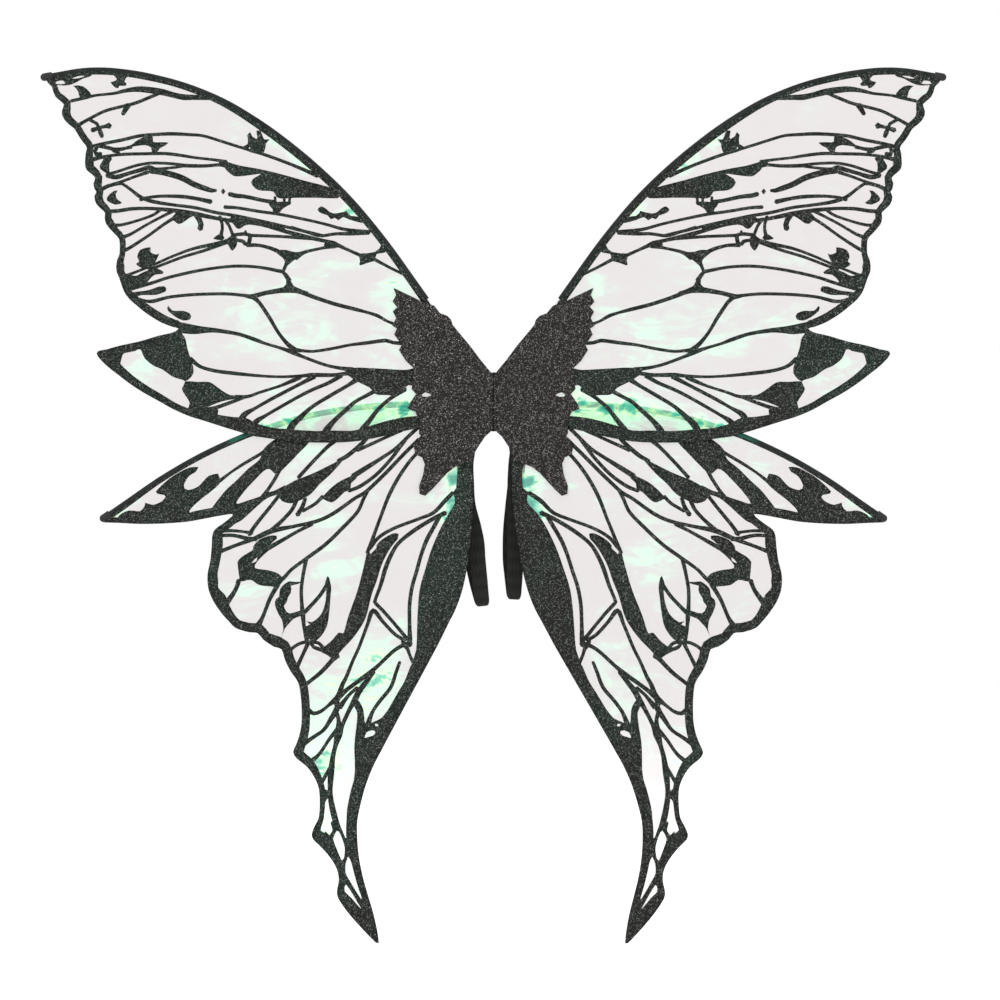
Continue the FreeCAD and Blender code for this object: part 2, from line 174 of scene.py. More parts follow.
def within(outline, spots):
    """Which spots lie inside the outline, by winding number."""
    outline = np.array([p[:2] for p in outline])
    low, high = outline.min(axis=0), outline.max(axis=0)
    chosen = np.where(((spots >= low) & (spots <= high)).all(axis=1))[0]
    near = spots[chosen]
    winding = np.zeros(len(near), int)
    for a, b in zip(outline, np.roll(outline, -1, axis=0)):
        turn = (b[0] - a[0]) * (near[:, 1] - a[1]) - (near[:, 0] - a[0]) * (b[1] - a[1])
        winding += (a[1] <= near[:, 1]) & (near[:, 1] < b[1]) & (turn > 0)
        winding -= (b[1] <= near[:, 1]) & (near[:, 1] < a[1]) & (turn < 0)
    inside = np.zeros(len(spots), bool)
    inside[chosen] = winding != 0
    return inside


def triangulate(outline, veins, blots, windows):
    """Cuts one flat panel along every printed edge: points, triangles, printed or not."""
    printed = [ribbon(v) for v in veins] + [smooth(b, True) for b in blots]
    clear = [smooth(w, True) for w in windows]
    points, edges = [], []
    for shape in [outline] + printed + clear:
        start = len(points)
        points += [Vector((float(p[0]), float(p[1]))) for p in shape]
        edges += [(start + k, start + (k + 1) % len(shape)) for k in range(len(shape))]
    corners = np.array([p[:2] for p in outline])
    low, high = corners.min(axis=0), corners.max(axis=0)
    for row, z in enumerate(np.arange(low[1], high[1], GRID * ROW_SHARE)):
        for x in np.arange(low[0] + (row % 2) * GRID / 2, high[0], GRID):
            points.append(Vector((float(x), float(z))))
    places, _, faces, _, _, _ = delaunay_2d_cdt(points, edges, [], 0, 0.01, False)
    places = np.array([tuple(p) for p in places])
    faces = np.array([f for f in faces if len(f) == 3])
    middles = places[faces].mean(axis=1)
    in_panel = within(outline, middles)
    faces, middles = faces[in_panel], middles[in_panel]
    dark = np.zeros(len(faces), bool)
    for shape in printed:
        dark |= within(shape, middles)
    for shape in clear:
        dark &= ~within(shape, middles)
    return places, faces, dark


def away_from(path, across, height):
    """Distance from a point of the flat wing to the frame wire."""
    best = 1e9
    for (x0, z0), (x1, z1) in zip(path, path[1:]):
        dx, dz = x1 - x0, z1 - z0
        t = max(0, min(1, ((across - x0) * dx + (height - z0) * dz) / (dx * dx + dz * dz)))
        best = min(best, math.hypot(across - x0 - t * dx, height - z0 - t * dz))
    return best


def ease(value):
    """Runs softly from 0 to 1 and stays there."""
    value = max(0.0, min(1.0, value))
    return value * value * (3 - 2 * value)


def build_sheet(name, side, places, faces, depth, thick, billow, mint):
    """A closed thin sheet from flat triangles; billow gives each point's depth change."""
    used = np.unique(faces)
    order = {int(old): new for new, old in enumerate(used)}
    front, back, tints = [], [], []
    for old in used:
        across, height = places[old]
        lift = billow[old]
        front.append(folded(side, across, depth + lift, height))
        back.append(folded(side, across, depth + thick + lift, height))
        tints.append(mint[old])
    count = len(front)
    turned = [[order[int(i)] for i in face] for face in faces]
    if side < 0:
        turned = [face[::-1] for face in turned]
    sides = {}
    for face in turned:
        for a, b in zip(face, face[1:] + face[:1]):
            if (b, a) in sides:
                del sides[(b, a)]
            else:
                sides[(a, b)] = True
    walls = [(b, a, a + count, b + count) for a, b in sides]
    backs = [[i + count for i in reversed(face)] for face in turned]
    mesh = bpy.data.meshes.new(name)
    mesh.from_pydata([tuple(p) for p in front + back], [], turned + backs + walls)
    tint = mesh.attributes.new("mint", "FLOAT", "POINT")
    tint.data.foreach_set("value", tints + tints)
    mesh.polygons.foreach_set("use_smooth", [True] * (2 * len(turned)) + [False] * len(walls))
    mesh.validate()
    mesh.update()
    piece = bpy.data.objects.new(name, mesh)
    bpy.context.collection.objects.link(piece)
    return piece


# ------------------------------------------------------------------ upper film panels
# Iridescent film stretched on a spring-steel wire hem, with a black glitter print of
# butterfly veins, spots and a scalloped border. The two sides are mirror images.
UPPER_WIRE = [
    (9, 20), (52.2, 79.9), (101.7, 149.4), (135.6, 189.9), (171.8, 223.7), (211.3, 254.2),
    (251, 278.3), (290, 293.6), (329.5, 302.6), (359.7, 305.9), (383, 305.2), (418.4, 298.2),
]
UPPER_HEM_WIDTHS = (11, 11.5, 12.6, 13.4, 13.6, 11.5, 9.8, 9.6, 9.6, 9.6, 10)
UPPER_HEM = [(s, z, w) for (s, z), w in zip(UPPER_WIRE[1:], UPPER_HEM_WIDTHS)]
UPPER_MARGIN = [
    (417, 296, 9), (414.9, 292.4, 10), (411.7, 289.5, 10), (410, 284, 10), (408, 279.8, 11),
    (403.9, 276.2, 12), (400.4, 273, 13), (402.2, 266.5, 15), (402, 262.8, 16),
    (399.3, 257.8, 14), (395.1, 253.7, 13), (390.5, 250, 12), (387.3, 244.5, 12),
    (383.6, 239, 12), (379.9, 234.5, 12), (379.2, 232.1, 12), (380.3, 227.5, 13),
    (380.9, 217, 16), (379.4, 212.3, 15), (375.3, 208.7, 14), (371.6, 204.8, 13),
    (373.2, 199.5, 15), (372.3, 195, 14), (370.5, 192.1, 13), (372.3, 187.5, 15),
    (370.7, 181.1, 15), (367, 177, 13), (362.4, 172.4, 12), (362.8, 167.7, 12),
    (361.4, 162.2, 14), (358.7, 158.5, 13), (354.1, 153.5, 11), (349.4, 148, 11),
    (349.1, 134.5, 10), (351.3, 128.9, 12), (352.2, 122.4, 15), (351.8, 117.8, 14),
    (349.4, 112.2, 13), (347.6, 106.7, 12), (344.8, 99.3, 12), (340.2, 92.8, 13),
    (334.7, 87.8, 14), (324.5, 79.5, 15), (311.6, 71.5, 15), (300, 66.9, 14),
    (294.6, 65.4, 13), (299.6, 61.9, 13), (312.6, 58.8, 14), (330.1, 53.5, 15),
    (350, 49, 15), (360.6, 45.9, 16), (368.5, 44.3, 16), (370.2, 42.2, 18), (368, 37.8, 20),
    (360.2, 29.9, 22), (351.4, 23, 17), (339.4, 13.8, 15), (326.4, 5.4, 14),
    (312.6, -2.2, 13), (299.6, -9.5, 12), (284.8, -16, 13), (270, -20.6, 16),
    (255.3, -25.3, 20), (246.9, -27.9, 23), (236.7, -31, 28), (225, -34.4, 24),
    (209.6, -36.6, 20), (190, -39.3, 22), (170, -40.3, 21), (150, -40.3, 22),
    (130, -39.1, 20), (112, -36, 24), (94.5, -32.1, 26), (77.6, -27.9, 24), (60, -25, 20),
    (34, -22, 16), (14, -20, 12),
]
UPPER_VEINS = [
    # fan of veins from the tip to the leading edge
    [(394, 276, 2.5), (379, 279.6), (371.6, 281.5, 2), (354.1, 283.6, 2.2), (345.8, 285.8, 3),
     (338.4, 287.3, 3.8), (329.2, 287.9, 5), (311.6, 285.9, 5.5), (297.8, 282.6, 4.6), (290, 281.1, 5),
     (280, 281, 4.2), (262, 281, 4)],
    [(388, 253, 3), (376.2, 259.9, 2.4), (362.4, 267), (347.6, 271.2), (334.7, 274.7, 2.6),
     (320.8, 280.6), (311, 285)],
    [(341, 273, 5), (344, 268, 4), (346.2, 264.1, 3)],
    [(376.7, 258.7, 2.5), (369.9, 255), (368.4, 251.8), (366.5, 246.7, 4), (365.1, 242.9, 3)],
    [(374.4, 248.9, 4), (366.1, 251.8, 2.5), (361.5, 252.8, 3), (358.2, 253.4, 5.5)],
    [(376, 233.5, 3), (362.4, 237, 2.6), (345.8, 240.5), (331, 244.2), (316.2, 245.8), (300, 246.6, 2.8),
     (285.7, 246.1, 2.5), (272.7, 245.3, 2.2), (259.8, 241.8), (246.8, 237.8), (233.8, 233.9),
     (213.4, 227.9, 2.5), (191.1, 220), (177.2, 214.4, 3), (165, 209, 3.4)],
    [(371, 235.1, 3), (355.9, 232), (354.1, 229.8, 2.6), (349.4, 228.9)],
    [(356, 231.5, 3), (348.5, 231.6), (342.5, 232.9, 2.5), (338, 234, 3)],
    [(370.2, 233, 3), (371.6, 229.4), (370.2, 226.7, 4), (367.9, 226.3), (366.1, 227.7, 3)],
    [(377, 221, 4), (367.9, 223.5, 3), (356.8, 225.7, 2.2), (343.9, 227.1, 2.4), (325.5, 227.7),
     (307, 228.1, 2.6), (290, 226.3, 2.4), (280, 224.8, 2), (259.8, 222.6, 2.2), (250, 221, 3)],
    [(361, 208, 2.6), (352.2, 210.5, 2.2), (333.8, 216.7), (319, 219.2), (299.1, 218.6), (290, 217.3, 3),
     (269.9, 217.1, 2.6), (256.5, 218.2, 2.5), (250, 217, 3)],
    [(361, 207, 3), (352.2, 205.8, 4), (341.1, 209.2, 3), (328.2, 213.1, 3.5), (321.8, 215, 4),
     (317.2, 213.2)],
    [(318, 213.5, 3), (311.7, 213.8, 2.2), (299.1, 215.2, 2), (288, 217)],
    [(321, 211.6, 3.8), (309, 210.6, 5), (292.3, 206, 5), (280, 199.8, 4.8), (270, 196.2, 4.4),
     (263.5, 194.2, 3.4), (259.6, 194.3, 2)],
    [(356, 198.8, 2.4), (347.6, 201.5, 2.2), (333.8, 206.8), (322.7, 210.7, 3)],
    [(253.6, 193.5, 4.4), (252.8, 193.5, 4.4)],
    [(247.7, 191.3, 3.6), (242.1, 189.7, 3.8), (232.8, 188.9, 3.2), (214.3, 185.2, 3),
     (204.5, 184.1, 3.5)],
    [(367, 193.5, 3.5), (359.6, 197.4, 3), (350.4, 199.6, 2.4), (346.7, 199.7), (339.3, 194.7),
     (329.2, 187.2, 3), (318.1, 183.4), (300, 180.5, 2.5), (280, 178.2), (259.8, 173.7, 2.6),
     (240, 170.6, 2.5), (210, 164.6, 2.2), (180.1, 157.6, 2.5), (160, 153)],
    [(330, 185, 3), (321.8, 187.2, 2.4), (309.8, 188.5), (290, 188.2, 3), (276.4, 186.3),
     (264.4, 183.7, 4)],
    [(363, 173.5, 3.4), (350.4, 174.4, 3), (336.5, 176.5, 2.8), (319.9, 176.9, 2.6), (300, 175.4, 3.5),
     (280, 172.4, 4), (259.8, 168.4, 3), (242.1, 165.7), (219.9, 163.1, 2.4), (200.1, 158.1, 3),
     (180.1, 152.7, 3.8), (162.9, 149, 3), (149.8, 146.5)],
    [(246, 169, 1.4), (225, 166.2, 1.2), (196, 159)],
    [(358, 161.5, 3), (348.5, 161.2, 2.4), (332.8, 165.4, 2), (318.1, 170.9, 2.2), (311, 176, 2.4)],
    [(349, 149, 3.4), (339.3, 152.6, 2.4), (322.7, 162.5, 2), (307, 171, 2.2), (299, 175, 2.6)],
    [(350, 134.5, 3), (338.4, 141, 2.6), (322.7, 151.4, 2.2), (306.1, 163.6, 2.4), (291, 173, 3)],
    [(279, 172, 4), (275, 166.4, 4.5), (273.8, 162.2), (274.6, 158)],
    [(256.5, 170, 3), (254.2, 163.3, 2.4), (254, 158.7), (255.1, 153, 3)],
    [(252, 168, 3.2), (247.7, 161.5, 2.3), (243.5, 151, 2.6)],
    [(243, 153.1, 2.6), (232.8, 154.1, 3), (229.1, 153.2), (228.2, 150.5, 3.4), (230, 144.4, 3.5),
     (232.8, 144.8), (234.7, 147.1, 3), (240, 148, 2.6)],
    [(232.4, 153, 2.6), (232.4, 157, 1.6)],
    [(229, 152.8, 2.6), (219.9, 152.5, 2.4), (200.1, 152, 2.3), (180.1, 150.8, 2.6), (168, 150)],
    [(231, 143.6, 3.5), (219.9, 143.5, 2.6), (208.7, 140.8, 3), (202, 138, 3.5)],
    [(186, 132, 4.5), (180.7, 135.8, 3.5), (175.1, 138.2, 2.5), (160.1, 141.6, 2.3), (148.9, 144.1, 5)],
    [(194.3, 127, 3), (196.2, 122.3, 2.5), (197.6, 119, 3), (194.8, 115.5, 3.5), (191.5, 110.5, 4)],
    [(252, 178.9, 3), (240, 178.3, 2.4), (219.9, 175.2), (200.1, 172.6), (177, 168.1, 2.2), (158.2, 164),
     (141.4, 159.5, 2.6), (128.2, 157.9, 3), (119, 157.3)],
    [(205, 189, 2), (204.5, 182)], [(196.5, 188, 2), (196, 182)], [(191, 189, 2), (192, 182)],
    [(190, 161, 2), (177, 156.9, 2.2), (162.9, 153, 2.5), (148.9, 154.9), (133.8, 155.3, 3),
     (117, 156.8, 4)],
    [(150, 146, 4), (137.6, 140.4, 2.4), (124, 134.5, 2.8)],
    [(111.5, 131.2, 2.8), (100.1, 125.2, 2.2), (88.8, 119.7), (80, 116, 2.8)],
    [(349, 112, 3), (334.7, 117.5, 2), (319.9, 123.6), (300, 132.6), (280, 140.1, 2.4),
     (259.8, 144.5, 3.2), (248, 147.5, 4)],
    [(322, 119.8, 2.6), (310.7, 124.2, 2.2), (290, 132.2), (269.9, 138.5, 2.4), (250, 146, 3)],
    [(338, 102.5, 3.6), (319.9, 107.4, 2.6), (304.2, 112.7, 2.4), (280, 118.6), (259.8, 122.1, 2.2),
     (240, 123.9, 2.4), (220, 123, 2.3), (197.6, 119, 3)],
    [(334.7, 93.4, 2.6), (324.5, 90.7, 2.4), (318.1, 90.7, 3), (303.3, 94.5, 2.4), (280, 97.1),
     (249.9, 98), (232.8, 96.6, 2.6), (227.3, 95.6, 4), (214.3, 99, 3.5), (198, 102, 4.5)],
    [(225, 95, 4), (219.9, 90.5, 3), (210.3, 76.5), (202, 62.5, 2.6), (193.7, 52.1, 3.4),
     (186.3, 46, 4.5)],
    [(189, 103, 6), (180.8, 100.4, 4), (167.6, 95.2, 3.2), (148.9, 89.2, 3), (130.2, 84.6),
     (118, 81.5, 2.2), (108.7, 78.5, 2.8), (99.8, 73.5, 2), (90, 70, 2.6)],
    [(297, 67, 10), (280, 64.5, 8), (269.9, 64.3, 5.2), (259.8, 63.9, 3.6), (240, 60.9, 2.8),
     (224.5, 56, 3.2), (214.3, 52.1, 2.2), (200, 47.9, 2.4), (188.1, 43.9, 4), (179.9, 40.2, 2.6),
     (160, 32.9, 2.4), (147.1, 29.9, 2.6), (132, 28, 4)],
    [(187, 46, 4.5), (179.9, 45.5, 2.6), (169.5, 44.9, 2.2), (152.7, 47.4, 2.4), (135, 51.1, 2.2),
     (121, 52.9, 2.8), (101.1, 55.5, 3), (94.5, 53.6, 2.8), (80, 52.4, 3)],
    [(284, 37.5, 4), (274.7, 30.3, 2.8), (260.8, 26.3), (245, 24.3, 3), (220, 21.9, 2.2), (200, 21, 2),
     (179.9, 21.9, 2.6), (170, 22.9, 3.5), (150, 22.9, 3), (135, 25, 3.5)],
    [(270, -9.8, 3), (260.8, -8.2), (246, -3, 2.8), (233, 2, 2.5)],
    [(242, 2, 3.5), (230, 2.6, 2.6), (220, 6.1, 2.2), (200, 12.6), (187.2, 18, 3.4), (181, 20.6, 3)],
    [(239, -26, 5), (234, -15, 5), (223.6, -8.6, 2.6), (210, -0.7, 2.8), (195.6, 7), (182.6, 13.8),
     (168, 21.5, 4)],
    [(228, -31, 5), (223, -21.5, 5), (214.3, -15.6, 2.6), (200, -7.2), (184.4, 1.7), (170, 9.1, 2.8),
     (154.6, 15.7, 3), (143, 22.5, 4)],
    [(194, -35, 6), (189, -24.5, 6), (182.6, -17.9, 4.5), (170, -6.7, 3), (152.7, 4), (136.8, 13.3),
     (129, 18.5, 4.5)],
    [(160, -37, 6), (157, -29, 6), (150, -20.2, 4), (140, -10.9, 3.5), (130, -2, 3), (119, 4),
     (108, 10, 4)],
    [(127, -37, 5), (124, -29, 5), (117, -20.2, 4), (107.7, -8.2, 3), (96.4, 1.6), (83, 10, 4)],
]
UPPER_BLOTS = [
    [(375, 48), (344, 46), (346.5, 40), (348, 34), (352, 20), (372, 36)],
    # fin near the tip, then the blots in order down the panel
    [(391.9, 290.2), (387.3, 290.8), (382.7, 289.9), (379, 287.2), (374.4, 280.8), (380.8, 279.3),
     (385.4, 278.6), (387.3, 285.2), (389.6, 288.4)],
    [(404, 290.6), (396.5, 290.7), (390, 293), (383, 297), (375, 300), (376, 306), (412, 300),
     (409, 292)],
    [(356.8, 304), (353.1, 299.1), (351.5, 297), (353.1, 295.4), (357.3, 294.2), (356.1, 292), (353, 289),
     (350.2, 288.5), (349.3, 290.8), (343.6, 290.8), (342.5, 292.8), (344.6, 294.9), (343.5, 297.4),
     (341, 303)],
    [(235.6, 234.7), (230.5, 238), (230.1, 241.7), (230.8, 246.4), (228.2, 249.4), (226.2, 245.3),
     (222.4, 242.9), (221.3, 244.6), (222.3, 250.7), (218.5, 251), (217.3, 248.2), (214.9, 242.6),
     (210.1, 242.9), (213.5, 238.7), (213.5, 236.8), (216.9, 228.8), (228.7, 230.7)],
    [(341, 233.5), (337.9, 236.1), (334.7, 238.8), (329.2, 242.1), (319, 245.8), (318.1, 239),
     (311.6, 238.7), (303.8, 238.3), (307, 235.5), (311.6, 233.1), (315.3, 228.4), (319, 227.4),
     (319.9, 233.5), (325.5, 235.7), (334.7, 234.6)],
    [(363.3, 224), (357.7, 225.6), (355.9, 222.8), (358.2, 219), (358.6, 214.4), (358.2, 210.2),
     (360.5, 208.8), (367, 213.3), (367.4, 216.1), (364.7, 220.8)],
    [(256, 222.4), (247.7, 220.6), (237.9, 217.9), (219.9, 214.9), (200.1, 210.5), (180.1, 205.2),
     (152, 198), (143, 192), (146, 188.5), (167.9, 188.6), (186.5, 188.3), (197.6, 187.4), (203.2, 188.7),
     (206.4, 193.8), (210, 194.4), (218, 194.7), (223.6, 196.7), (227.3, 202.3), (225.4, 205.6),
     (218, 210.3), (223.6, 209.7), (238.4, 207.7), (244, 208.3), (250.5, 213.6), (252.3, 216.4),
     (257, 217.1)],
    [(350.8, 193.4), (354.1, 193), (357.7, 190.3), (361, 186), (360.3, 183.5), (353.1, 180.1),
     (348.5, 180.8), (346.9, 182.1), (351.3, 185.3), (352.6, 190)],
    [(301.5, 167), (298.7, 165.5), (295, 162.7), (291.7, 163.3), (284.3, 168.6), (281.1, 170.3),
     (279.2, 173), (288.5, 175), (297, 173)],
    [(248.5, 168.5), (244, 163.4), (241.2, 159.7), (238.9, 158.6), (236.6, 159.2), (233.8, 161.6),
     (225.4, 164), (232.8, 167)],
    [(262.5, 149.8), (257.9, 153.2), (255.1, 154.1), (253.2, 152.3), (251.9, 150), (254.2, 147.8),
     (261.6, 148.9)],
    [(250.5, 148.9), (247.7, 150.8), (245.4, 153.1), (242.1, 152.7), (240.3, 150.4), (239.8, 147.6),
     (240.7, 142.9), (244.9, 138.1), (248.2, 142.9), (250, 145.6)],
    [(205, 138.6), (200.4, 139.5), (193.9, 139.4), (188.3, 137.7), (181.8, 137.8), (173.5, 140.2),
     (177.2, 136), (187.4, 129.8), (194.3, 124.6), (196.7, 130.6), (203.2, 136.1)],
    [(158.2, 148), (148.9, 147), (143.5, 143.3), (147, 142), (158, 141)],
    [(200.4, 102.9), (196.7, 105.3), (194.6, 107.6), (194.8, 110.9), (192, 112.8), (187.4, 105.9),
     (183.7, 103.6), (173.5, 100.4), (177.2, 98.8), (190.1, 99.4), (203.2, 99.3)],
    [(211, 182.7), (200.4, 184.6), (189.7, 184.5), (190.1, 182.8), (198, 177.7), (202.2, 172.4),
     (206.9, 173.4), (207.3, 177.6)],
    [(165.3, 177.1), (161.8, 180.7), (156.8, 178.1), (154.5, 175.9), (149.8, 174.1), (140.6, 175.8),
     (138.1, 176.8), (136.7, 174.3), (133.8, 172), (130.1, 171.7), (122, 169.4), (122, 165.4),
     (134.3, 168.1), (141.4, 170.7), (145.6, 167.7), (148.9, 169.9), (152.8, 168.6), (155.6, 172),
     (161.2, 173.9)],
    [(126.3, 136.3), (120, 137), (111.3, 138.6), (107.6, 141.5), (105.7, 145), (100, 141), (102, 138),
     (109.9, 136.4), (110.9, 133.1), (109.9, 130.7), (118.8, 127.9), (125.4, 125.5), (126.3, 126.9),
     (125.4, 129.7)],
    [(322.7, 140.7), (320.4, 140.7), (320.4, 136.1), (314.9, 134), (312.6, 135.2), (314.4, 130.2),
     (318.1, 124.2), (323.6, 120.3), (330.1, 122.1), (333.8, 125.3), (331, 127.6), (332.8, 131.8),
     (330.1, 138.3)],
    [(350, 107), (348, 117), (334.7, 114.1), (327.3, 117.6), (315.3, 121.5), (308.4, 117.8),
     (309.3, 116.2), (317.2, 114.9), (322.7, 109.3), (323.2, 107.4), (334.7, 102.1), (348, 100)],
    [(340, 98), (322.7, 100.9), (312.6, 104.4), (307.9, 104.7), (305.9, 102.9), (306.1, 100.1),
     (315.3, 96.6), (329.2, 96.2), (338, 93)],
    [(305.2, 84.7), (304.1, 86.6), (300.1, 82.1), (290.4, 82), (284.3, 79.7), (282.7, 76.9),
     (283.9, 74.1), (289.9, 72.9), (296.8, 75.9), (304.3, 81.8)],
    # the lobe's inner edge, its dark heart and the root blotch
    [(300, 66), (289, 57.6), (286.7, 48.3), (283, 36.3), (280.7, 28.8), (280.7, 24.2), (282.5, 21),
     (288.5, 16.3), (299.6, 20.4), (309.8, 27.4), (322.7, 33.4), (328.7, 44), (331, 55)],
    [(288.5, 16.3), (291.7, 11.7), (290, 5.6), (286.7, 0.5), (284.4, -4.5), (286, -14), (262, -20),
     (257.6, -10), (260.8, -8.5), (269.6, -8.7), (254.3, -2.2), (238.6, 0.7), (233.1, 1), (236.8, 3.5),
     (246.9, 3.9), (256.2, 9.4), (265.4, 15.7), (275.6, 15.9)],
    [(140, 26), (130, 29.9), (110, 29.3), (83, 28), (70, 29), (68, 12), (80, 13.8), (84.7, 9.1),
     (92, 4.2), (101, 4.4), (110.5, 5), (116.2, 11), (125.6, 15.7), (133, 20)],
]
UPPER_WINDOWS = [
    [(345, 40), (334.8, 44.4), (330.1, 45.9), (325.5, 37.1), (314.4, 28.7), (299.6, 20.4), (288.5, 16.3),
     (291.7, 9.3), (284.4, -4.5), (301.5, 1.4), (318.1, 11.5), (334.8, 24), (344, 29.1), (346.3, 32.4)],
    [(408.2, 292), (404, 291.6), (399, 292.4), (401, 295), (407, 294.2)],
    [(393, 297), (387, 297.4), (381, 299.6), (387, 299.4)],
    [(229.6, 234.3), (228.7, 235.2), (227.8, 234.3), (228.7, 233.4)],
]

# Milky places of the film: distance, height, reach, and 0 for rosy, 1 minty, 2 teal. A
# higher value pulls its neighbourhood to teal more strongly.
# The places at (96, 112) and (88, 98), by the leading edge, are painted glints: green highlights set into
# the film's tint.
UPPER_TINTS_AND_GLINTS = [
    (210, 68, 42, 1.0), (150, 60, 38, 0.8), (330, 265, 30, 0.1), (285, 262, 26, 0.1), (250, 205, 24, 0.1),
    (300, 232, 22, 0.1), (310, 150, 26, 0.15), (230, 130, 34, 0.1), (180, 120, 24, 0.7),
    (270, 108, 26, 0.2), (250, 80, 26, 0.6), (310, 30, 28, 0.8), (200, 35, 28, 0.3), (260, 45, 24, 0.1),
    (130, 110, 28, 0.2), (170, 180, 22, 0.2), (340, 200, 18, 0.1), (100, 80, 24, 0.9), (90, 5, 24, 0.9),
    (210, 0, 20, 0.7), (170, -15, 24, 1.0), (125, -15, 20, 0.9), (96, 112, 9, 1.7), (135, 178, 7, 1.6),
    (176, 217, 7, 1.6), (187, 228, 6, 1.6), (204, 245, 7, 1.5), (88, 98, 7, 1.4), (84, -4, 7, 3.2),
    (106, -5, 7, 3.2), (128, -7, 7, 3.2), (150, -10, 7, 3.2), (172, -14, 7, 3.2), (194, -20, 7, 3.2),
    (214, -27, 7, 3.0), (88, -12, 10, 1.35), (110, -14, 12, 1.2), (135, -22, 10, 1.4),
    (158, -22, 12, 1.2), (182, -29, 9, 1.3), (205, -30, 8, 1.2),
]


FILM_THICK = 0.3
PRINT_PROUD = 0.12            # how far the print stands out of the film on each face
HIDDEN_REACH = 40             # the film starts where the patch no longer hides the wire
WIRE_CALM = 55                # the film billows fully this far from the wire
ROOT_CALM = 80                # and this far past the stiff root
PLAIN_TINT, PLAIN_WEIGHT = 0.15, 0.3            # the film away from the named places
TAIL_START, TAIL_FADE = -190, 70                # height where the tail's own tint begins, and its fade
TAIL_MINT = {"left": 0.2, "right": -0.08}       # the left tail stays minty, the right one is rosy
TAIL_LEAN = 0.04              # sideways shift of the right lower panel per millimetre of drop
LEAN_FROM = -110              # height where that shift is nothing
BAND_SHIFT = 6.5              # how much narrower that panel's dark inner band starts
BAND_PLACE, BAND_REACH = (32, -80), (9, 26)


def tint_at(spots, across, height):
    """Soft mix of the named places' tints, rosy between them, with a little slow noise."""
    total, weight = PLAIN_TINT * PLAIN_WEIGHT, PLAIN_WEIGHT
    for s, z, reach, mint in spots:
        near = math.exp(-((across - s) ** 2 + (height - z) ** 2) / (reach * reach))
        total += near * mint
        weight += near
    drift = noise.noise(Vector((across * 0.021, height * 0.024, 3.7)))
    return max(0.0, min(1.0, 0.5 * total / weight + 0.14 * drift))


def lift_at(wire, root_reach, across, height):
    """How far the film billows, as a share: nothing at the wire and the root."""
    calm = (ease(away_from(wire, across, height) / WIRE_CALM)
            * ease((math.hypot(across, height) - root_reach) / ROOT_CALM))
    return calm * (0.55 + 0.45 * noise.noise(Vector((across * 0.011, height * 0.013, 1.3)))
                   + 0.25 * noise.noise(Vector((across * 0.035, height * 0.03, 5.1))))


def leaned(across, height):
    """A point of the right lower panel, whose tail hangs further out than the left one's."""
    # above LEAN_FROM only the part near the root moves, less and less with height
    share = 1 if height < LEAN_FROM else ease((120 - across) / 80) * ease((-20 - height) / 40)
    across += TAIL_LEAN * (LEAN_FROM - height) * share
    beside, above = (across - BAND_PLACE[0]) / BAND_REACH[0], (height - BAND_PLACE[1]) / BAND_REACH[1]
    across -= BAND_SHIFT * math.exp(-beside ** 2 - above ** 2)
    return across, height


def make_panels(level, wire, hem, margin, veins, blots, windows, tints, depth, start, billow_size,
                root_reach):
    """One film sheet and one print sheet for each side."""
    wire_edge = smooth([p for p in wire if p[0] > HIDDEN_REACH])
    outline = [start] + wire_edge + smooth([p[:2] for p in margin])
    places, faces, dark = triangulate(outline, [hem, margin] + veins, blots, windows)
    billow, mint = np.zeros(len(places)), np.zeros(len(places))
    for number in np.unique(faces):
        across, height = places[number]
        billow[number] = billow_size * lift_at(wire, root_reach, across, height)
        mint[number] = tint_at(tints, across, height)
    tail = np.array([ease((TAIL_START - z) / TAIL_FADE) for s, z in places])
    made = []
    for word, side in SIDES:
        panel = word + "_" + level
        spots, shade = places, mint
        if level == "lower":
            shade = mint + TAIL_MINT[word] * tail
        if (word, level) == ("right", "lower"):
            spots = [leaned(s, z) for s, z in places]
        film = build_sheet(panel + "_film_sheet", side, spots, faces, depth, FILM_THICK, billow, shade)
        print_sheet = build_sheet(panel + "_glitter_print", side, spots, faces[dark], depth - PRINT_PROUD,
                                  FILM_THICK + 2 * PRINT_PROUD, billow, shade)
        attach(film, word + "_wing")
        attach(print_sheet, word + "_wing")
        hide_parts(word + "_" + level + "_film")
        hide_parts(word + "_" + level + "_border")
        made.append((film, print_sheet))
    return made


upper_panels = make_panels(
    "upper", UPPER_WIRE, UPPER_HEM, UPPER_MARGIN, UPPER_VEINS, UPPER_BLOTS, UPPER_WINDOWS, UPPER_TINTS_AND_GLINTS,
    depth=2.0, start=(14, 27), billow_size=-5.0, root_reach=120)


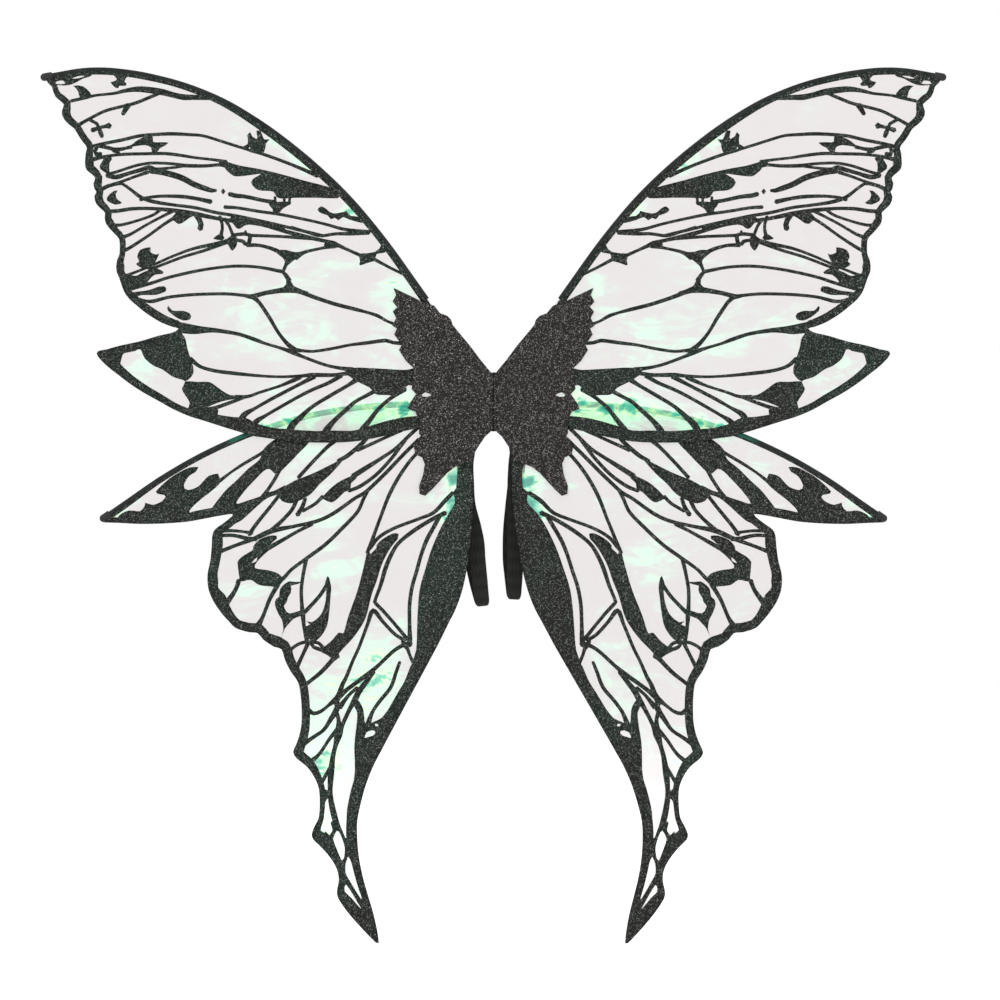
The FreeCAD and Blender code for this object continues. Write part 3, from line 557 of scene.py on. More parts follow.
# ------------------------------------------------------------------ lower film panels
# The hind wing: the same film and glitter print, hung from its own wire, running down
# to a long pointed tail. It lies behind the upper panel, and the right one leans outwards.
LOWER_WIRE = [
    (11, -11), (48, -3.5), (90, -3.8), (129.7, -7), (167, -13), (202.5, -22.8),
    (236.6, -34.9), (275.5, -53), (312, -74.5), (343, -96.5), (364, -111),
]
LOWER_HEM_WIDTHS = (6.6, 6.6, 6.6, 6.6, 6.6, 6.6, 6.8, 7, 8, 9)
LOWER_HEM = [(s, z, w) for (s, z), w in zip(LOWER_WIRE[1:], LOWER_HEM_WIDTHS)]
LOWER_MARGIN = [
    (363.1, -114.9, 10), (348.7, -115.4, 10), (330.2, -116.3, 14), (308, -115.9, 16), (286.7, -114.3, 16),
    (271.8, -111.7, 17), (254.2, -108.4, 16), (244, -107.5, 15), (251.4, -114.5, 13), (260.7, -121.4, 16),
    (263.2, -127, 19), (263.7, -136, 20), (265, -150, 17.6), (267.5, -162, 18), (267.7, -170, 19.5),
    (266.4, -178.5, 18), (262, -188.8, 24), (255.1, -199, 20), (248.3, -206.9, 16), (241.5, -213.5, 16),
    (229.5, -217.5, 17), (221, -218.5, 17), (215.9, -224.4, 16), (205.6, -231.3, 21), (198.8, -233.6, 18),
    (195.4, -243.8, 17), (190.3, -254.1, 17), (183.4, -264.4, 15), (181.1, -274.7, 15), (180, -288.5, 15),
    (180, -302.2, 15), (181.7, -312.5, 16), (185.1, -322.8, 17), (187.9, -329.6, 20), (185.1, -335.3, 18),
    (174.9, -343.9, 16), (168.1, -353.7, 12.6), (164, -364, 11), (163, -377.8, 9.6), (164, -391.6, 9.2),
    (168.1, -400.1, 13), (170.5, -406.9, 22), (169.1, -411.9, 26), (161.3, -419.6, 26),
    (152.7, -429.9, 22), (146.9, -440.3, 18), (145.2, -450.2, 15), (146.9, -460.5, 16), (145.9, -467, 16),
    (137.3, -479.9, 22), (127.1, -492, 22), (116.8, -503, 20), (110, -509.6, 12), (107.6, -509.8, 12),
    (108.9, -498.8, 20), (112.7, -481.5, 26), (117.8, -464.2, 14), (122.6, -447, 16), (126, -429.7, 18),
    (127.7, -412.5, 20), (127.7, -395.3, 20), (124.3, -378.1, 22), (119.5, -360.9, 24),
    (112.7, -343.7, 34), (103.8, -326.6, 40), (92.8, -305.9, 28), (82.6, -287, 22), (72.3, -268, 22),
    (62, -249.1, 28), (51.8, -230.1, 38), (41.5, -209.5, 48), (34.7, -195.8, 50), (28.8, -178.6, 50),
    (24.4, -157.9, 50), (22, -137.3, 46), (20.2, -116, 40), (18.8, -96, 34), (18.5, -60, 28),
    (16, -44, 20),
]
LOWER_VEINS = [
    [(258, -77.5, 3), (246.9, -68.9, 2), (235.2, -61, 2.4), (218, -50.8, 2.6), (214, -48, 3)],
    [(200.5, -66, 3), (204.9, -74.3, 2.8), (211.5, -84.6), (216, -91, 4)],
    [(213, -89.8, 4), (205.9, -87.4, 3), (194.7, -81.8, 3)],
    [(146, -57.5, 3), (136.8, -52.4, 3.5), (121.8, -39.4, 3.5), (117, -33, 3)],
    [(128, -47.5, 3), (110.5, -39.6, 2.6), (99.2, -34.4, 2.4), (86, -28.5, 2.6)],
    [(147, -37, 4), (155.5, -44, 3), (167.6, -56.2, 2.8), (183, -73, 3)],
    [(199, -87, 3), (207.8, -98.6, 2.8), (221.8, -115.9, 3), (229, -126.5, 3.4)],
    [(258, -123, 3), (244, -122.7, 2.4), (233, -123.8, 2.2), (226, -125, 3)],
    [(258, -127.5, 3), (244, -127, 2.8), (230.1, -130.1, 3.4), (222, -130.6)],
    [(185, -95, 3.4), (189.1, -103.3, 3), (198.4, -113.5), (208, -122.5, 4)],
    [(176.5, -92, 3), (179.3, -100.5, 3.4), (184, -108, 4)],
    [(179, -104.5, 2.6), (166.7, -97.2), (160, -90.5, 3)],
    [(132, -71.8, 4.5), (118.1, -63, 4), (106.8, -55.8, 3), (92.7, -46.2, 2.6), (77.6, -32.1, 3),
     (70, -25, 3)],
    [(136, -85.6, 2.8), (125, -81, 3), (109.9, -70.1, 2.8), (95.5, -54.6), (87.9, -44.3, 3), (82, -36.5)],
    [(70, -37, 3), (85.1, -51.8), (102.1, -69.6), (120, -86.5), (130.2, -92.5, 2.8), (150, -106.5, 3),
     (164.8, -113.5), (187.2, -118.7, 2.8), (207.8, -122.9, 4.4), (224.6, -130.3, 3.6),
     (241.4, -136.4, 2.8), (258, -143, 3.5)],
    [(118, -85, 3), (122, -93, 2.8), (127.5, -105), (142.4, -121, 3), (157.3, -135.4), (172.3, -146.6),
     (189.1, -158.8, 2.6), (195.6, -165.9, 3), (201, -171, 3.4)],
    [(170, -116.5, 3), (183.5, -123.3, 2.6), (196.5, -130.8, 3), (211, -139, 4)],
    [(175.5, -149, 3.4), (178.3, -163.1, 2.8), (180.2, -178, 2.8), (179.7, -192.1, 3), (178.8, -200.5, 4),
     (177.9, -210.7, 3), (176, -222, 3), (174, -228.5, 4)],
    [(68, -46, 2.6), (78.5, -57.4, 2.8), (88.9, -72.4, 3), (98.3, -90.2), (105.8, -109.9, 2.6),
     (113.4, -130.6, 3), (118, -144, 4)],
    [(38, -87, 3), (45.6, -94.9, 3.4), (55.9, -105.7, 3), (69.1, -111.4, 2.6), (92.7, -120.3),
     (107.7, -129.2, 2.8), (117, -141, 3)],
    [(45, -106, 4), (57.8, -112.3, 3.4), (75.7, -123.5), (89.8, -135.3, 3), (97.4, -148.3, 3.4),
     (102.1, -160.5, 3.6), (105.8, -173.7, 3), (110.4, -186, 2.6), (111.4, -189.7, 3), (103, -198.6, 2.8),
     (92.7, -210.3, 2.6), (83.3, -221.6, 3), (77.5, -228, 3)],
    [(49.8, -108, 3.6), (55.9, -119.3, 3.4), (62.5, -131.5), (67.8, -145.5, 3), (72, -160.5),
     (76.3, -175.6), (78.6, -192.5), (78.6, -211.3), (78.3, -224, 4), (78.6, -231)],
    [(238.5, -169, 4), (240.8, -176.2, 3.4), (244, -181.8, 3.8), (249.5, -189.5, 5)],
    [(202, -173, 4), (209.6, -186.4, 3.2), (215.1, -200.5, 3), (217.5, -206, 3.4), (221, -212, 6)],
    [(177.5, -199.5, 3.6), (171.3, -193, 3), (162.9, -183.6, 3), (156.6, -174, 3)],
    [(192, -237, 3), (188.1, -232.2, 2.6), (179.7, -227.6, 2.6), (170.4, -227.1, 3), (163.9, -228, 2.6),
     (158.5, -234, 3)],
    [(171.5, -227, 2.6), (168.5, -231.8, 2.8), (159, -235, 3.5)],
    [(174.1, -228.5, 3.5), (178.8, -238.8, 2.8), (184, -250, 3.5)],
    [(147, -239, 7), (150.8, -243.5, 4), (162, -255.6, 3.4), (173.2, -264.5, 3), (180, -270, 4)],
    [(83, -226, 3), (92.7, -219.8, 2.8), (103.9, -208), (112.9, -197.7, 4), (118, -210.3, 2.8),
     (126.5, -232.9, 2.6), (132.1, -245.1), (138.2, -260.2, 3), (141.9, -267.3, 3.6), (144.5, -276, 5),
     (148, -283, 6), (146.2, -286.5, 5), (148, -291.8), (152.4, -298.8, 4), (159.4, -309.3, 3),
     (168.1, -315.4), (176, -320.7, 4), (182, -325, 6)],
    [(85, -226, 3), (84.2, -229.2, 4), (80.5, -233.8, 3), (78.6, -239.5, 2.4), (75, -247, 3)],
    [(77.5, -229, 5), (84.2, -230.1, 3.4), (93.6, -235.7, 3), (107.7, -248.9), (117.1, -256.9, 4),
     (128.3, -264.8, 3.4), (138.4, -272.5, 3.6), (147, -280, 5), (155, -286.5, 2.6), (162, -291.8, 2.8),
     (169, -293.7, 3.4), (178, -287, 5)],
    [(112, -255, 3), (119, -263.9, 4), (126.1, -273.4, 5), (130.5, -282.1), (134.9, -290, 3.6),
     (141.9, -304.9), (145.4, -313.7, 7), (148, -323.3, 4), (150.6, -333.8), (152.4, -349.6, 5.5),
     (153.2, -365.3, 4), (152.4, -375.8, 4.6), (149.1, -391, 5.4), (146, -400, 4.5), (140.8, -411.6, 3.4),
     (138.6, -421.3, 4), (138.6, -432)],
    [(127.9, -269.9, 3), (135.8, -276.9, 2.6), (144.5, -288.3, 5)],
    [(148, -291.8, 4), (145.4, -299.7, 3.2), (145.6, -311, 6)],
    [(147, -309.5, 4), (154.1, -318, 2.8), (162.9, -331.2), (172, -339.5, 4)],
    [(153, -344, 3), (158.5, -353.9), (162, -360, 3.5)],
    [(150.6, -396, 4), (149.1, -404.4, 3.6), (153, -411, 5)],
    [(87.8, -246, 2.4), (91.3, -255.5, 2.8), (96.4, -269.9, 3), (106.9, -283), (113.9, -293.5),
     (118.3, -306, 5)],
    [(145.5, -446, 10), (139.5, -446, 5), (134.5, -454.5, 4), (129.5, -463, 4.4), (124, -473, 5)],
]
LOWER_BLOTS = [
    [(352, -116), (349.7, -108.4), (340.4, -103.8), (330.2, -104.4), (326, -99.6), (325.4, -96.5),
     (318.2, -98.5), (309.8, -95), (306.6, -90.8), (308, -89.4), (314.5, -88), (315.6, -86.1),
     (310.8, -81), (302.4, -73.6), (293.1, -67.8), (283.9, -63.6), (276, -63.4), (278.3, -67.5),
     (285.3, -72.2), (289.6, -80.1), (289, -83.3), (285.7, -84.7), (276.5, -81.5), (269.1, -73.6),
     (266.3, -71.3), (257.9, -69.4), (256.1, -73.6), (256.1, -78.2), (264.4, -86.1), (274.6, -94),
     (283.9, -103.3), (287, -112), (308, -120), (340, -120)],
    [(290, -110), (286.7, -106.1), (271.8, -104.3), (265.3, -102.9), (258.9, -95), (250.5, -84.7),
     (240, -75), (230.1, -65), (219, -55.7), (215.2, -46), (205.9, -38), (190, -30), (168, -30),
     (173.2, -40.3), (182.5, -50.1), (191.9, -59.9), (203.1, -69.7), (210, -65), (215.2, -66.9),
     (223.6, -75.3), (233, -85.5), (240.9, -97.2), (230.1, -94.4), (219, -90.7), (213.5, -87.5),
     (198, -84), (200.3, -88), (211.5, -92.1), (220, -98.6), (230.1, -107.9), (236.7, -113.5),
     (241.4, -115.9), (252, -123), (262, -118), (244, -108.5), (275, -114)],
    [(143.3, -56.2), (153.6, -61.3), (166.7, -67.8), (177.9, -72.5), (185.3, -75.3), (199.3, -84.1),
     (200.7, -92.1), (198.4, -94.9), (190.9, -97.2), (182.5, -94.9), (171.3, -88.3), (162.9, -79),
     (152.7, -69.7), (141.5, -57.1)],
    [(161.1, -92.5), (154.5, -84.6), (145.2, -77.1), (134.9, -72), (130.2, -69.7), (128.4, -73.4),
     (133.5, -78.1), (134.4, -83.7), (139.6, -86.5), (148, -94.4), (152.7, -96.3), (159.2, -93.5)],
    [(203.1, -127.5), (210, -127.3), (220, -131.3), (225, -137.3), (225.5, -140.6), (235.8, -147.1),
     (239.8, -151.9), (239.4, -156.5), (238.2, -165), (236.6, -170.1), (227.3, -168.7), (219.8, -173.4),
     (208.6, -174.8), (202.1, -175.2), (197.4, -168.7), (201.2, -163.1), (210.5, -159.8), (223.5, -157.5),
     (221.8, -152.2), (214.3, -144.3), (210, -140.6), (208.7, -135), (203.1, -130.3)],
    [(191.8, -170.1), (195.1, -172), (199.8, -176.7), (201.2, -184.6), (204, -186.9), (204.9, -192.1),
     (201.2, -201.4), (198.4, -206), (197, -215.4), (199, -222), (195.1, -213.6), (191.8, -209.8),
     (187.2, -205.1), (178.8, -201.5), (179.5, -197.2), (191.8, -200), (196.5, -193), (193.7, -189.3),
     (192.8, -185.5), (190, -180.8), (189.5, -177.1), (190, -174.3), (182.5, -172.4), (180.2, -170.6),
     (186.3, -170.6)],
    [(155.7, -165.1), (154.1, -166.8), (152.2, -176.2), (152.7, -182.7), (154.1, -199.5), (156.4, -212.6),
     (162.9, -222.9), (168.5, -226.2), (175, -222.5), (176.5, -217.3), (176.9, -212.6), (172.2, -210.7),
     (175.6, -207), (170.4, -208.4), (162, -201.4), (157.8, -190.2), (156.9, -178), (158.3, -173.4)],
    [(88.9, -125.9), (94.5, -125.4), (106.8, -132.9), (115.3, -144.7), (118.6, -138), (119.4, -145.5),
     (123.6, -164.3), (128.3, -181.2), (135.8, -201.9), (141, -219), (145.3, -218.2), (151.8, -225.7),
     (161.1, -233.2), (163.9, -235), (155.5, -239.7), (150, -243.8), (149, -242.2), (140.5, -232.8),
     (131.1, -222.5), (120.4, -205.6), (114.3, -183), (109.6, -169.9), (104.9, -154.9), (98.3, -141.7),
     (92.7, -133.9), (89.8, -130.6)],
    # inner band of the hind wing, then the solid parts towards the tail
    [(32.4, -56), (33.3, -68.7), (34.3, -81.8), (37.6, -86.5), (36.2, -96.8), (42.8, -108.1),
     (50.3, -122.1), (58.3, -140.9), (63.6, -157.7), (69.2, -178.4), (71.1, -201.9), (72, -230.1),
     (73.9, -244.2), (77.6, -249.8), (83.3, -263.9), (89.4, -274.3), (99, -290.9), (104.3, -297.9),
     (113, -302.3), (120, -304), (121.3, -297), (122.6, -289.1), (127, -281.7), (131, -281.7),
     (131, -286.6), (127.9, -294), (128.6, -305.8), (130.5, -323.3), (130.3, -352), (134, -367.1),
     (137.4, -385), (138, -405.5), (137.8, -412.6), (140, -430), (120, -430), (100, -330), (60, -260),
     (20, -190), (12, -120), (12, -56)],
    [(152.8, -408.6), (160, -405), (172, -398), (172, -416), (150, -436), (144, -445), (144, -458),
     (150, -468), (130, -500), (108, -514), (104, -505), (113, -455), (122, -425), (138, -411),
     (141, -409), (148.4, -404)],
    [(158.5, -364.5), (155, -366.2), (154.5, -373.2), (156.7, -375), (158.5, -379.3), (161.5, -375.8)],
]
LOWER_WINDOWS = [
    [(226.5, -153), (224, -149.5), (221.2, -147.6), (222, -151)],
    [(110.5, -136.5), (116.3, -142.3), (115.6, -144.7), (109.5, -138.5)],
    [(111.5, -304), (108.5, -304), (108, -306), (110.5, -306.5)],
    [(120.9, -317.2), (119.1, -311.9), (114.8, -310), (111.3, -310.6), (110.8, -312.8), (113, -315),
     (117.4, -316.3)],
    [(147.4, -404.5), (145.2, -404.6), (141.7, -412.4), (139.5, -421.2), (140.4, -429.9), (142.1, -432),
     (144.8, -426.4), (149.1, -415.8), (150.4, -411.5)],
    [(137.3, -430.8), (136.5, -428.2), (133.8, -432.7), (130.8, -444.1), (127.3, -456.3), (123.5, -468.5),
     (129, -460.7), (134.3, -451.8), (138.6, -443.8), (138.6, -434.2)],
    [(139.1, -455.1), (137.8, -455.1), (132.5, -463.1), (127.3, -472), (124.1, -477.6), (133.4, -467),
     (139.5, -460.8)],
]
LOWER_TINTS = [
    (228, -188, 14, 1.0), (226, -202, 14, 0.2), (208, -212, 12, 0.1), (190, -186, 14, 0.4),
    (140, -170, 22, 0.9), (128, -190, 16, 0.0), (90, -165, 22, 0.0), (98, -212, 20, 0.4),
    (108, -242, 18, 1.0), (112, -275, 18, 1.0), (160, -280, 16, 0.4), (168, -306, 14, 0.9),
    (162, -336, 14, 1.0), (140, -325, 20, 1.0), (142, -360, 14, 0.2), (155, -400, 12, 1.0),
    (145, -416, 12, 1.0), (134, -440, 12, 0.3), (245, -155, 16, 0.1), (210, -150, 16, 0.1),
    (160, -120, 26, 0.8), (200, -105, 18, 0.7), (110, -100, 26, 0.3), (75, -85, 26, 0.2),
    (60, -75, 20, 0.9), (170, -85, 22, 0.8), (170, -35, 26, 1.0), (240, -60, 22, 0.8),
    (300, -82, 20, 0.6), (250, -140, 14, 0.2), (31, -66, 7, 1.3), (38, -76, 7, 3.2), (34, -84, 5, 1.4),
    (38, -95, 7, 3.4), (44, -106, 7, 2.8), (352, -106, 8, 1.6), (337, -94, 7, 1.4), (84, -6, 8, 2.0),
    (106, -7, 8, 2.0), (128, -9, 8, 2.0), (150, -12, 8, 2.0), (172, -16, 8, 2.0), (194, -22, 8, 2.0),
    (214, -29, 7, 1.8), (90, -18, 9, 1.5), (112, -20, 9, 1.6), (136, -22, 9, 1.3), (160, -26, 9, 1.4),
    (182, -31, 8, 1.3),
]

lower_panels = make_panels(
    "lower", LOWER_WIRE, LOWER_HEM, LOWER_MARGIN, LOWER_VEINS, LOWER_BLOTS, LOWER_WINDOWS, LOWER_TINTS,
    depth=3.0, start=(14, -10.4), billow_size=5.0, root_reach=95)


# ---------------------------------------------------------------- film and glitter looks
# The film is a clear plastic with a milky, colour-shifting coat: mint and rose by turns.
# The print is black glitter: tiny mirrored flakes, each tilted its own way, in dark ink.
def new_material(name):
    """A material, its tree and its shader."""
    material = bpy.data.materials.new(name)
    material.use_nodes = True
    tree = material.node_tree
    return material, tree, tree.nodes["Principled BSDF"]


def feed(tree, value, slot):
    """Links a socket to a slot, or sets the slot to a plain value."""
    if isinstance(value, bpy.types.NodeSocket):
        tree.links.new(value, slot)
    else:
        slot.default_value = value


def calculate(tree, operation, *values, kind="ShaderNodeMath"):
    """One math node over sockets and plain values."""
    node = tree.nodes.new(kind)
    node.operation = operation
    for value, slot in zip(values, node.inputs):
        feed(tree, value, slot)
    return node.outputs[0]


def remap(tree, source, old=(0.0, 1.0), new=(0.0, 1.0)):
    """Stretches the old range of a value to the new one, and stops at its ends."""
    node = tree.nodes.new("ShaderNodeMapRange")
    for slot, value in zip(("From Min", "From Max", "To Min", "To Max"), old + new):
        node.inputs[slot].default_value = value
    tree.links.new(source, node.inputs["Value"])
    return node.outputs["Result"]


def ramp(tree, source, stops):
    """Colours that change with a value."""
    node = tree.nodes.new("ShaderNodeValToRGB")
    while len(node.color_ramp.elements) < len(stops):
        node.color_ramp.elements.new(0.5)
    for element, (place, colour) in zip(node.color_ramp.elements, stops):
        element.position = place
        element.color = (*colour, 1)
    tree.links.new(source, node.inputs["Fac"])
    return node.outputs["Color"]


def blend_colours(tree, share, first, second):
    """Two colours mixed by a share."""
    node = tree.nodes.new("ShaderNodeMix")
    node.data_type = "RGBA"
    tree.links.new(share, node.inputs["Factor"])
    tree.links.new(first, node.inputs["A"])
    tree.links.new(second, node.inputs["B"])
    return node.outputs["Result"]


def noise_value(tree, scale, detail=3, rough=0.55, squeeze=None, distortion=0.0):
    """Noise on Object coordinates; squeeze stretches it along an axis."""
    place = tree.nodes.new("ShaderNodeTexCoord").outputs["Object"]
    texture = tree.nodes.new("ShaderNodeTexNoise")
    texture.inputs["Scale"].default_value = scale
    texture.inputs["Detail"].default_value = detail
    texture.inputs["Roughness"].default_value = rough
    texture.inputs["Distortion"].default_value = distortion
    if squeeze:
        mapping = tree.nodes.new("ShaderNodeMapping")
        mapping.inputs["Scale"].default_value = squeeze
        tree.links.new(place, mapping.inputs["Vector"])
        place = mapping.outputs["Vector"]
    tree.links.new(place, texture.inputs["Vector"])
    return texture.outputs["Fac"]


def raise_grain(tree, shader, height, strength, distance):
    """Bumps the surface by a value; distance is in metres."""
    bump = tree.nodes.new("ShaderNodeBump")
    bump.inputs["Strength"].default_value = strength
    bump.inputs["Distance"].default_value = distance
    tree.links.new(height, bump.inputs["Height"])
    tree.links.new(bump.outputs["Normal"], shader.inputs["Normal"])


FILM_COLOURS = (
    (0.0, (0.43, 0.36, 0.365)), (0.2, (0.42, 0.39, 0.37)), (0.34, (0.42, 0.56, 0.45)),
    (0.5, (0.36, 0.90, 0.54)), (0.62, (0.66, 0.94, 0.50)), (0.7, (0.12, 0.62, 0.40)),
    (0.88, (0.01, 0.30, 0.20)))
FILM_FOLDS = (
    # noise scale, distortion, the two ends of each crisp edge, how much tint it adds
    (12, 2.2, 0.45, 0.6, 0.24),
    (44, 2.6, 0.46, 0.58, 0.16))
film_material, tree, shader = new_material("iridescent_film")
mint_value = tree.nodes.new("ShaderNodeAttribute")
mint_value.attribute_name = "mint"
mixed = mint_value.outputs["Fac"]
for scale, distortion, low, high, amount in FILM_FOLDS:
    folds = noise_value(tree, scale, 3, 0.55, (0.55, 1.0, 1.3), distortion)
    crisp = remap(tree, folds, (low, high), (-amount / 2, amount / 2))
    mixed = calculate(tree, "ADD", mixed, crisp)
tree.links.new(ramp(tree, mixed, FILM_COLOURS), shader.inputs["Base Color"])
# The milky coat lets most light through, and the teal places are denser.
tree.links.new(remap(tree, mixed, (0.5, 0.85), (0.24, 0.66)), shader.inputs["Alpha"])
raise_grain(tree, shader, noise_value(tree, 45, 2, 0.5, distortion=2.0), 0.5, 0.0012)
shader.inputs["Roughness"].default_value = 0.22
shader.inputs["Specular IOR Level"].default_value = 0.5

GLITTER_INPUTS = (
    ("Flake Scale", "NodeSocketFloat"), ("Ink", "NodeSocketColor"), ("Flake", "NodeSocketColor"),
    ("Bright Flake", "NodeSocketColor"), ("Tilt", "NodeSocketFloat"), ("Bright Share", "NodeSocketFloat"))
GLITTER_OUTPUTS = (
    ("Color", "NodeSocketColor"), ("Flake Mask", "NodeSocketFloat"), ("Roughness", "NodeSocketFloat"),
    ("Normal", "NodeSocketVector"))


def glitter_group():
    """Flakes of one size over dark ink: colour, metallic mask, roughness and tilt."""
    group = bpy.data.node_groups.new("glitter_flakes", "ShaderNodeTree")
    for way, sockets in (("INPUT", GLITTER_INPUTS), ("OUTPUT", GLITTER_OUTPUTS)):
        for name, kind in sockets:
            group.interface.new_socket(name, in_out=way, socket_type=kind)
    nodes, links = group.nodes, group.links
    start = nodes.new("NodeGroupInput").outputs
    end = nodes.new("NodeGroupOutput").inputs
    cells = nodes.new("ShaderNodeTexVoronoi")
    cells.feature = "F1"
    links.new(nodes.new("ShaderNodeTexCoord").outputs["Object"], cells.inputs["Vector"])
    links.new(start["Flake Scale"], cells.inputs["Scale"])
    split = nodes.new("ShaderNodeSeparateColor")
    links.new(cells.outputs["Color"], split.inputs["Color"])

    # Each flake is one of three kinds: sunk in the ink, plain, or bright.
    shown = remap(group, split.outputs["Red"], (0.2, 0.65))
    over = blend_colours(group, shown, start["Ink"], start["Flake"])
    bright = calculate(group, "LESS_THAN", split.outputs["Green"], start["Bright Share"])
    lit = blend_colours(group, bright, over, start["Bright Flake"])
    links.new(lit, end["Color"])
    links.new(shown, end["Flake Mask"])
    links.new(remap(group, shown, new=(0.6, 0.3)), end["Roughness"])

    # Tilt: the surface normal plus each flake's own random direction.
    vector = "ShaderNodeVectorMath"
    centred = calculate(group, "SUBTRACT", cells.outputs["Color"], (0.5, 0.5, 0.5), kind=vector)
    sized = calculate(group, "SCALE", centred, kind=vector)
    links.new(start["Tilt"], sized.node.inputs["Scale"])
    surface = nodes.new("ShaderNodeNewGeometry").outputs["Normal"]
    tilted = calculate(group, "ADD", surface, sized, kind=vector)
    links.new(calculate(group, "NORMALIZE", tilted, kind=vector), end["Normal"])
    return group


GLITTER = glitter_group()


def glitter_material(name, flake_scale, ink, flake, bright, tilt, share, patchy=None):
    """Glitter with its own ink and flake colours; patchy is a second flake colour in zones."""
    material, tree, shader = new_material(name)
    flakes = tree.nodes.new("ShaderNodeGroup")
    flakes.node_tree = GLITTER
    if patchy:
        flake = ramp(tree, noise_value(tree, 9), ((0.42, flake), (0.62, patchy)))
    else:
        flake = (*flake, 1)
    for slot, value in (("Flake Scale", flake_scale), ("Ink", (*ink, 1)), ("Flake", flake),
                        ("Bright Flake", (*bright, 1)), ("Tilt", tilt), ("Bright Share", share)):
        feed(tree, value, flakes.inputs[slot])
    for source, slot in (("Color", "Base Color"), ("Flake Mask", "Metallic"), ("Roughness", "Roughness"),
                         ("Normal", "Normal")):
        tree.links.new(flakes.outputs[source], shader.inputs[slot])
    shader.inputs["Specular IOR Level"].default_value = 0.15
    return material


print_glitter = glitter_material(
    "print_glitter", 1450, ink=(0.0065, 0.0065, 0.006), flake=(0.022, 0.0235, 0.021),
    bright=(0.11, 0.12, 0.11), tilt=1.1, share=0.12, patchy=(0.02, 0.034, 0.026))
for film, print_sheet in upper_panels + lower_panels:
    film.data.materials.append(film_material)
    print_sheet.data.materials.append(print_glitter)


# ------------------------------------------------------------------------ root patches
# Glitter foam patch over each wing's root, die-cut with a ragged edge and glued down.
# The flakes are a little larger and paler than those of the print.
def paint(node, material):
    """Gives a CAD piece this one material."""
    nodes[node].data.materials.clear()
    nodes[node].data.materials.append(material)


patch_glitter = glitter_material(
    "patch_glitter", 1350, ink=(0.009, 0.008, 0.008), flake=(0.028, 0.026, 0.025),
    bright=(0.145, 0.135, 0.13), tilt=1.2, share=0.14)
for word, side in SIDES:
    paint(word + "_patch", patch_glitter)


# ------------------------------------------------------------------- wire, hems and tips
# Spring-steel wire in a smooth black plastic hem, with a rubber cap on each tip. At the
# root the bare wire is held to a stiff board by saddle clips.
def plain_material(name, dark, light, rough, grain, height, squeeze=None, metal=0.0, specular=0.5):
    """Two close tones mixed by fine grain, which also lifts the surface a little."""
    material, tree, shader = new_material(name)
    fine = noise_value(tree, grain, 4, 0.6, squeeze)
    broad = noise_value(tree, grain / 14, 2, 0.5)
    both = calculate(tree, "MULTIPLY_ADD", broad, 0.5, fine)
    tree.links.new(ramp(tree, both, ((0.5, dark), (0.95, light))), shader.inputs["Base Color"])
    tree.links.new(remap(tree, fine, new=(rough - 0.08, rough + 0.1)), shader.inputs["Roughness"])
    raise_grain(tree, shader, fine, 0.6, height)
    shader.inputs["Metallic"].default_value = metal
    shader.inputs["Specular IOR Level"].default_value = specular
    return material


def hem_material(name):
    """Smooth black plastic with a faint grain."""
    return plain_material(name, (0.006, 0.007, 0.007), (0.018, 0.022, 0.02), 0.5, 300, 0.0002,
                          (1, 1, 0.3), specular=0.12)


upper_hem_plastic = hem_material("hem_plastic")
lower_hem_plastic_and_sheen = hem_material("lower_hem_plastic_and_sheen")
# Towards the root the lower hem's black base colour is painted teal: the painted sheen of the film's coat,
# which wraps the hem there.
SHEEN_FADES = (0.25, 0.225)    # distances from the centre line, in metres, where the painted teal sheen begins and is full
TEAL_SHEEN_COLOURS = ((0.38, (0.004, 0.09, 0.06)), (0.52, (0.01, 0.22, 0.14)), (0.66, (0.05, 0.36, 0.22)))
tree = lower_hem_plastic_and_sheen.node_tree
base_colour = tree.nodes["Principled BSDF"].inputs["Base Color"]
black = base_colour.links[0].from_socket
place = tree.nodes.new("ShaderNodeSeparateXYZ")
tree.links.new(tree.nodes.new("ShaderNodeTexCoord").outputs["Object"], place.inputs["Vector"])
sheen_share = remap(tree, calculate(tree, "ABSOLUTE", place.outputs["X"]), SHEEN_FADES)
# the painted teal sheen of the film, mixed over the black by distance from the centre line
painted_sheen = ramp(tree, noise_value(tree, 60, 3, 0.5, (0.5, 1, 1)), TEAL_SHEEN_COLOURS)
tree.links.new(blend_colours(tree, sheen_share, black, painted_sheen), base_colour)

cap_rubber = plain_material(
    "cap_rubber", (0.006, 0.006, 0.006), (0.016, 0.016, 0.016), 0.6, 900, 0.0001, specular=0.3)
drawn_wire = plain_material(
    "drawn_wire", (0.30, 0.30, 0.31), (0.52, 0.52, 0.53), 0.33, 500, 0.00005, (1, 1, 0.1), metal=1.0)
root_card = plain_material(
    "root_card", (0.012, 0.012, 0.012), (0.03, 0.03, 0.03), 0.7, 700, 0.0001)
clip_tin = plain_material(
    "clip_tin", (0.05, 0.05, 0.05), (0.12, 0.12, 0.12), 0.35, 400, 0.00005, metal=0.8)
for word, side in SIDES:
    for level, hem_plastic in (("upper", upper_hem_plastic), ("lower", lower_hem_plastic_and_sheen)):
        paint("%s_%s_sleeve" % (word, level), hem_plastic)
        paint("%s_%s_tip_cap" % (word, level), cap_rubber)
        paint("%s_%s_wire" % (word, level), drawn_wire)
    paint(word + "_root_board", root_card)
    paint(word + "_wire_clips", clip_tin)


# ------------------------------------------------------------------ felt lining and pad
# Black felt glued over the back of each root board, and between them the pad that rests
# on the wearer's back: a foam block under a felt cover.
ROOT_BOARD = [
    (3.5, 22), (12, 33), (34, 61), (44, 66), (52, 60), (54, 12), (54, -20), (48, -44), (36, -56),
    (20, -50), (10, -34), (3.5, -26),
]
PAD_WIDTH, PAD_HEIGHT, PAD_CORNER = 112.0, 50.0, 12.0
RIM_RADIUS = 1.6              # the most that an edge is rounded
RIM_FLAT = 1.5                # first flat ring inside the rounded rim
SLAB_RINGS = 6                # rings from there to the middle


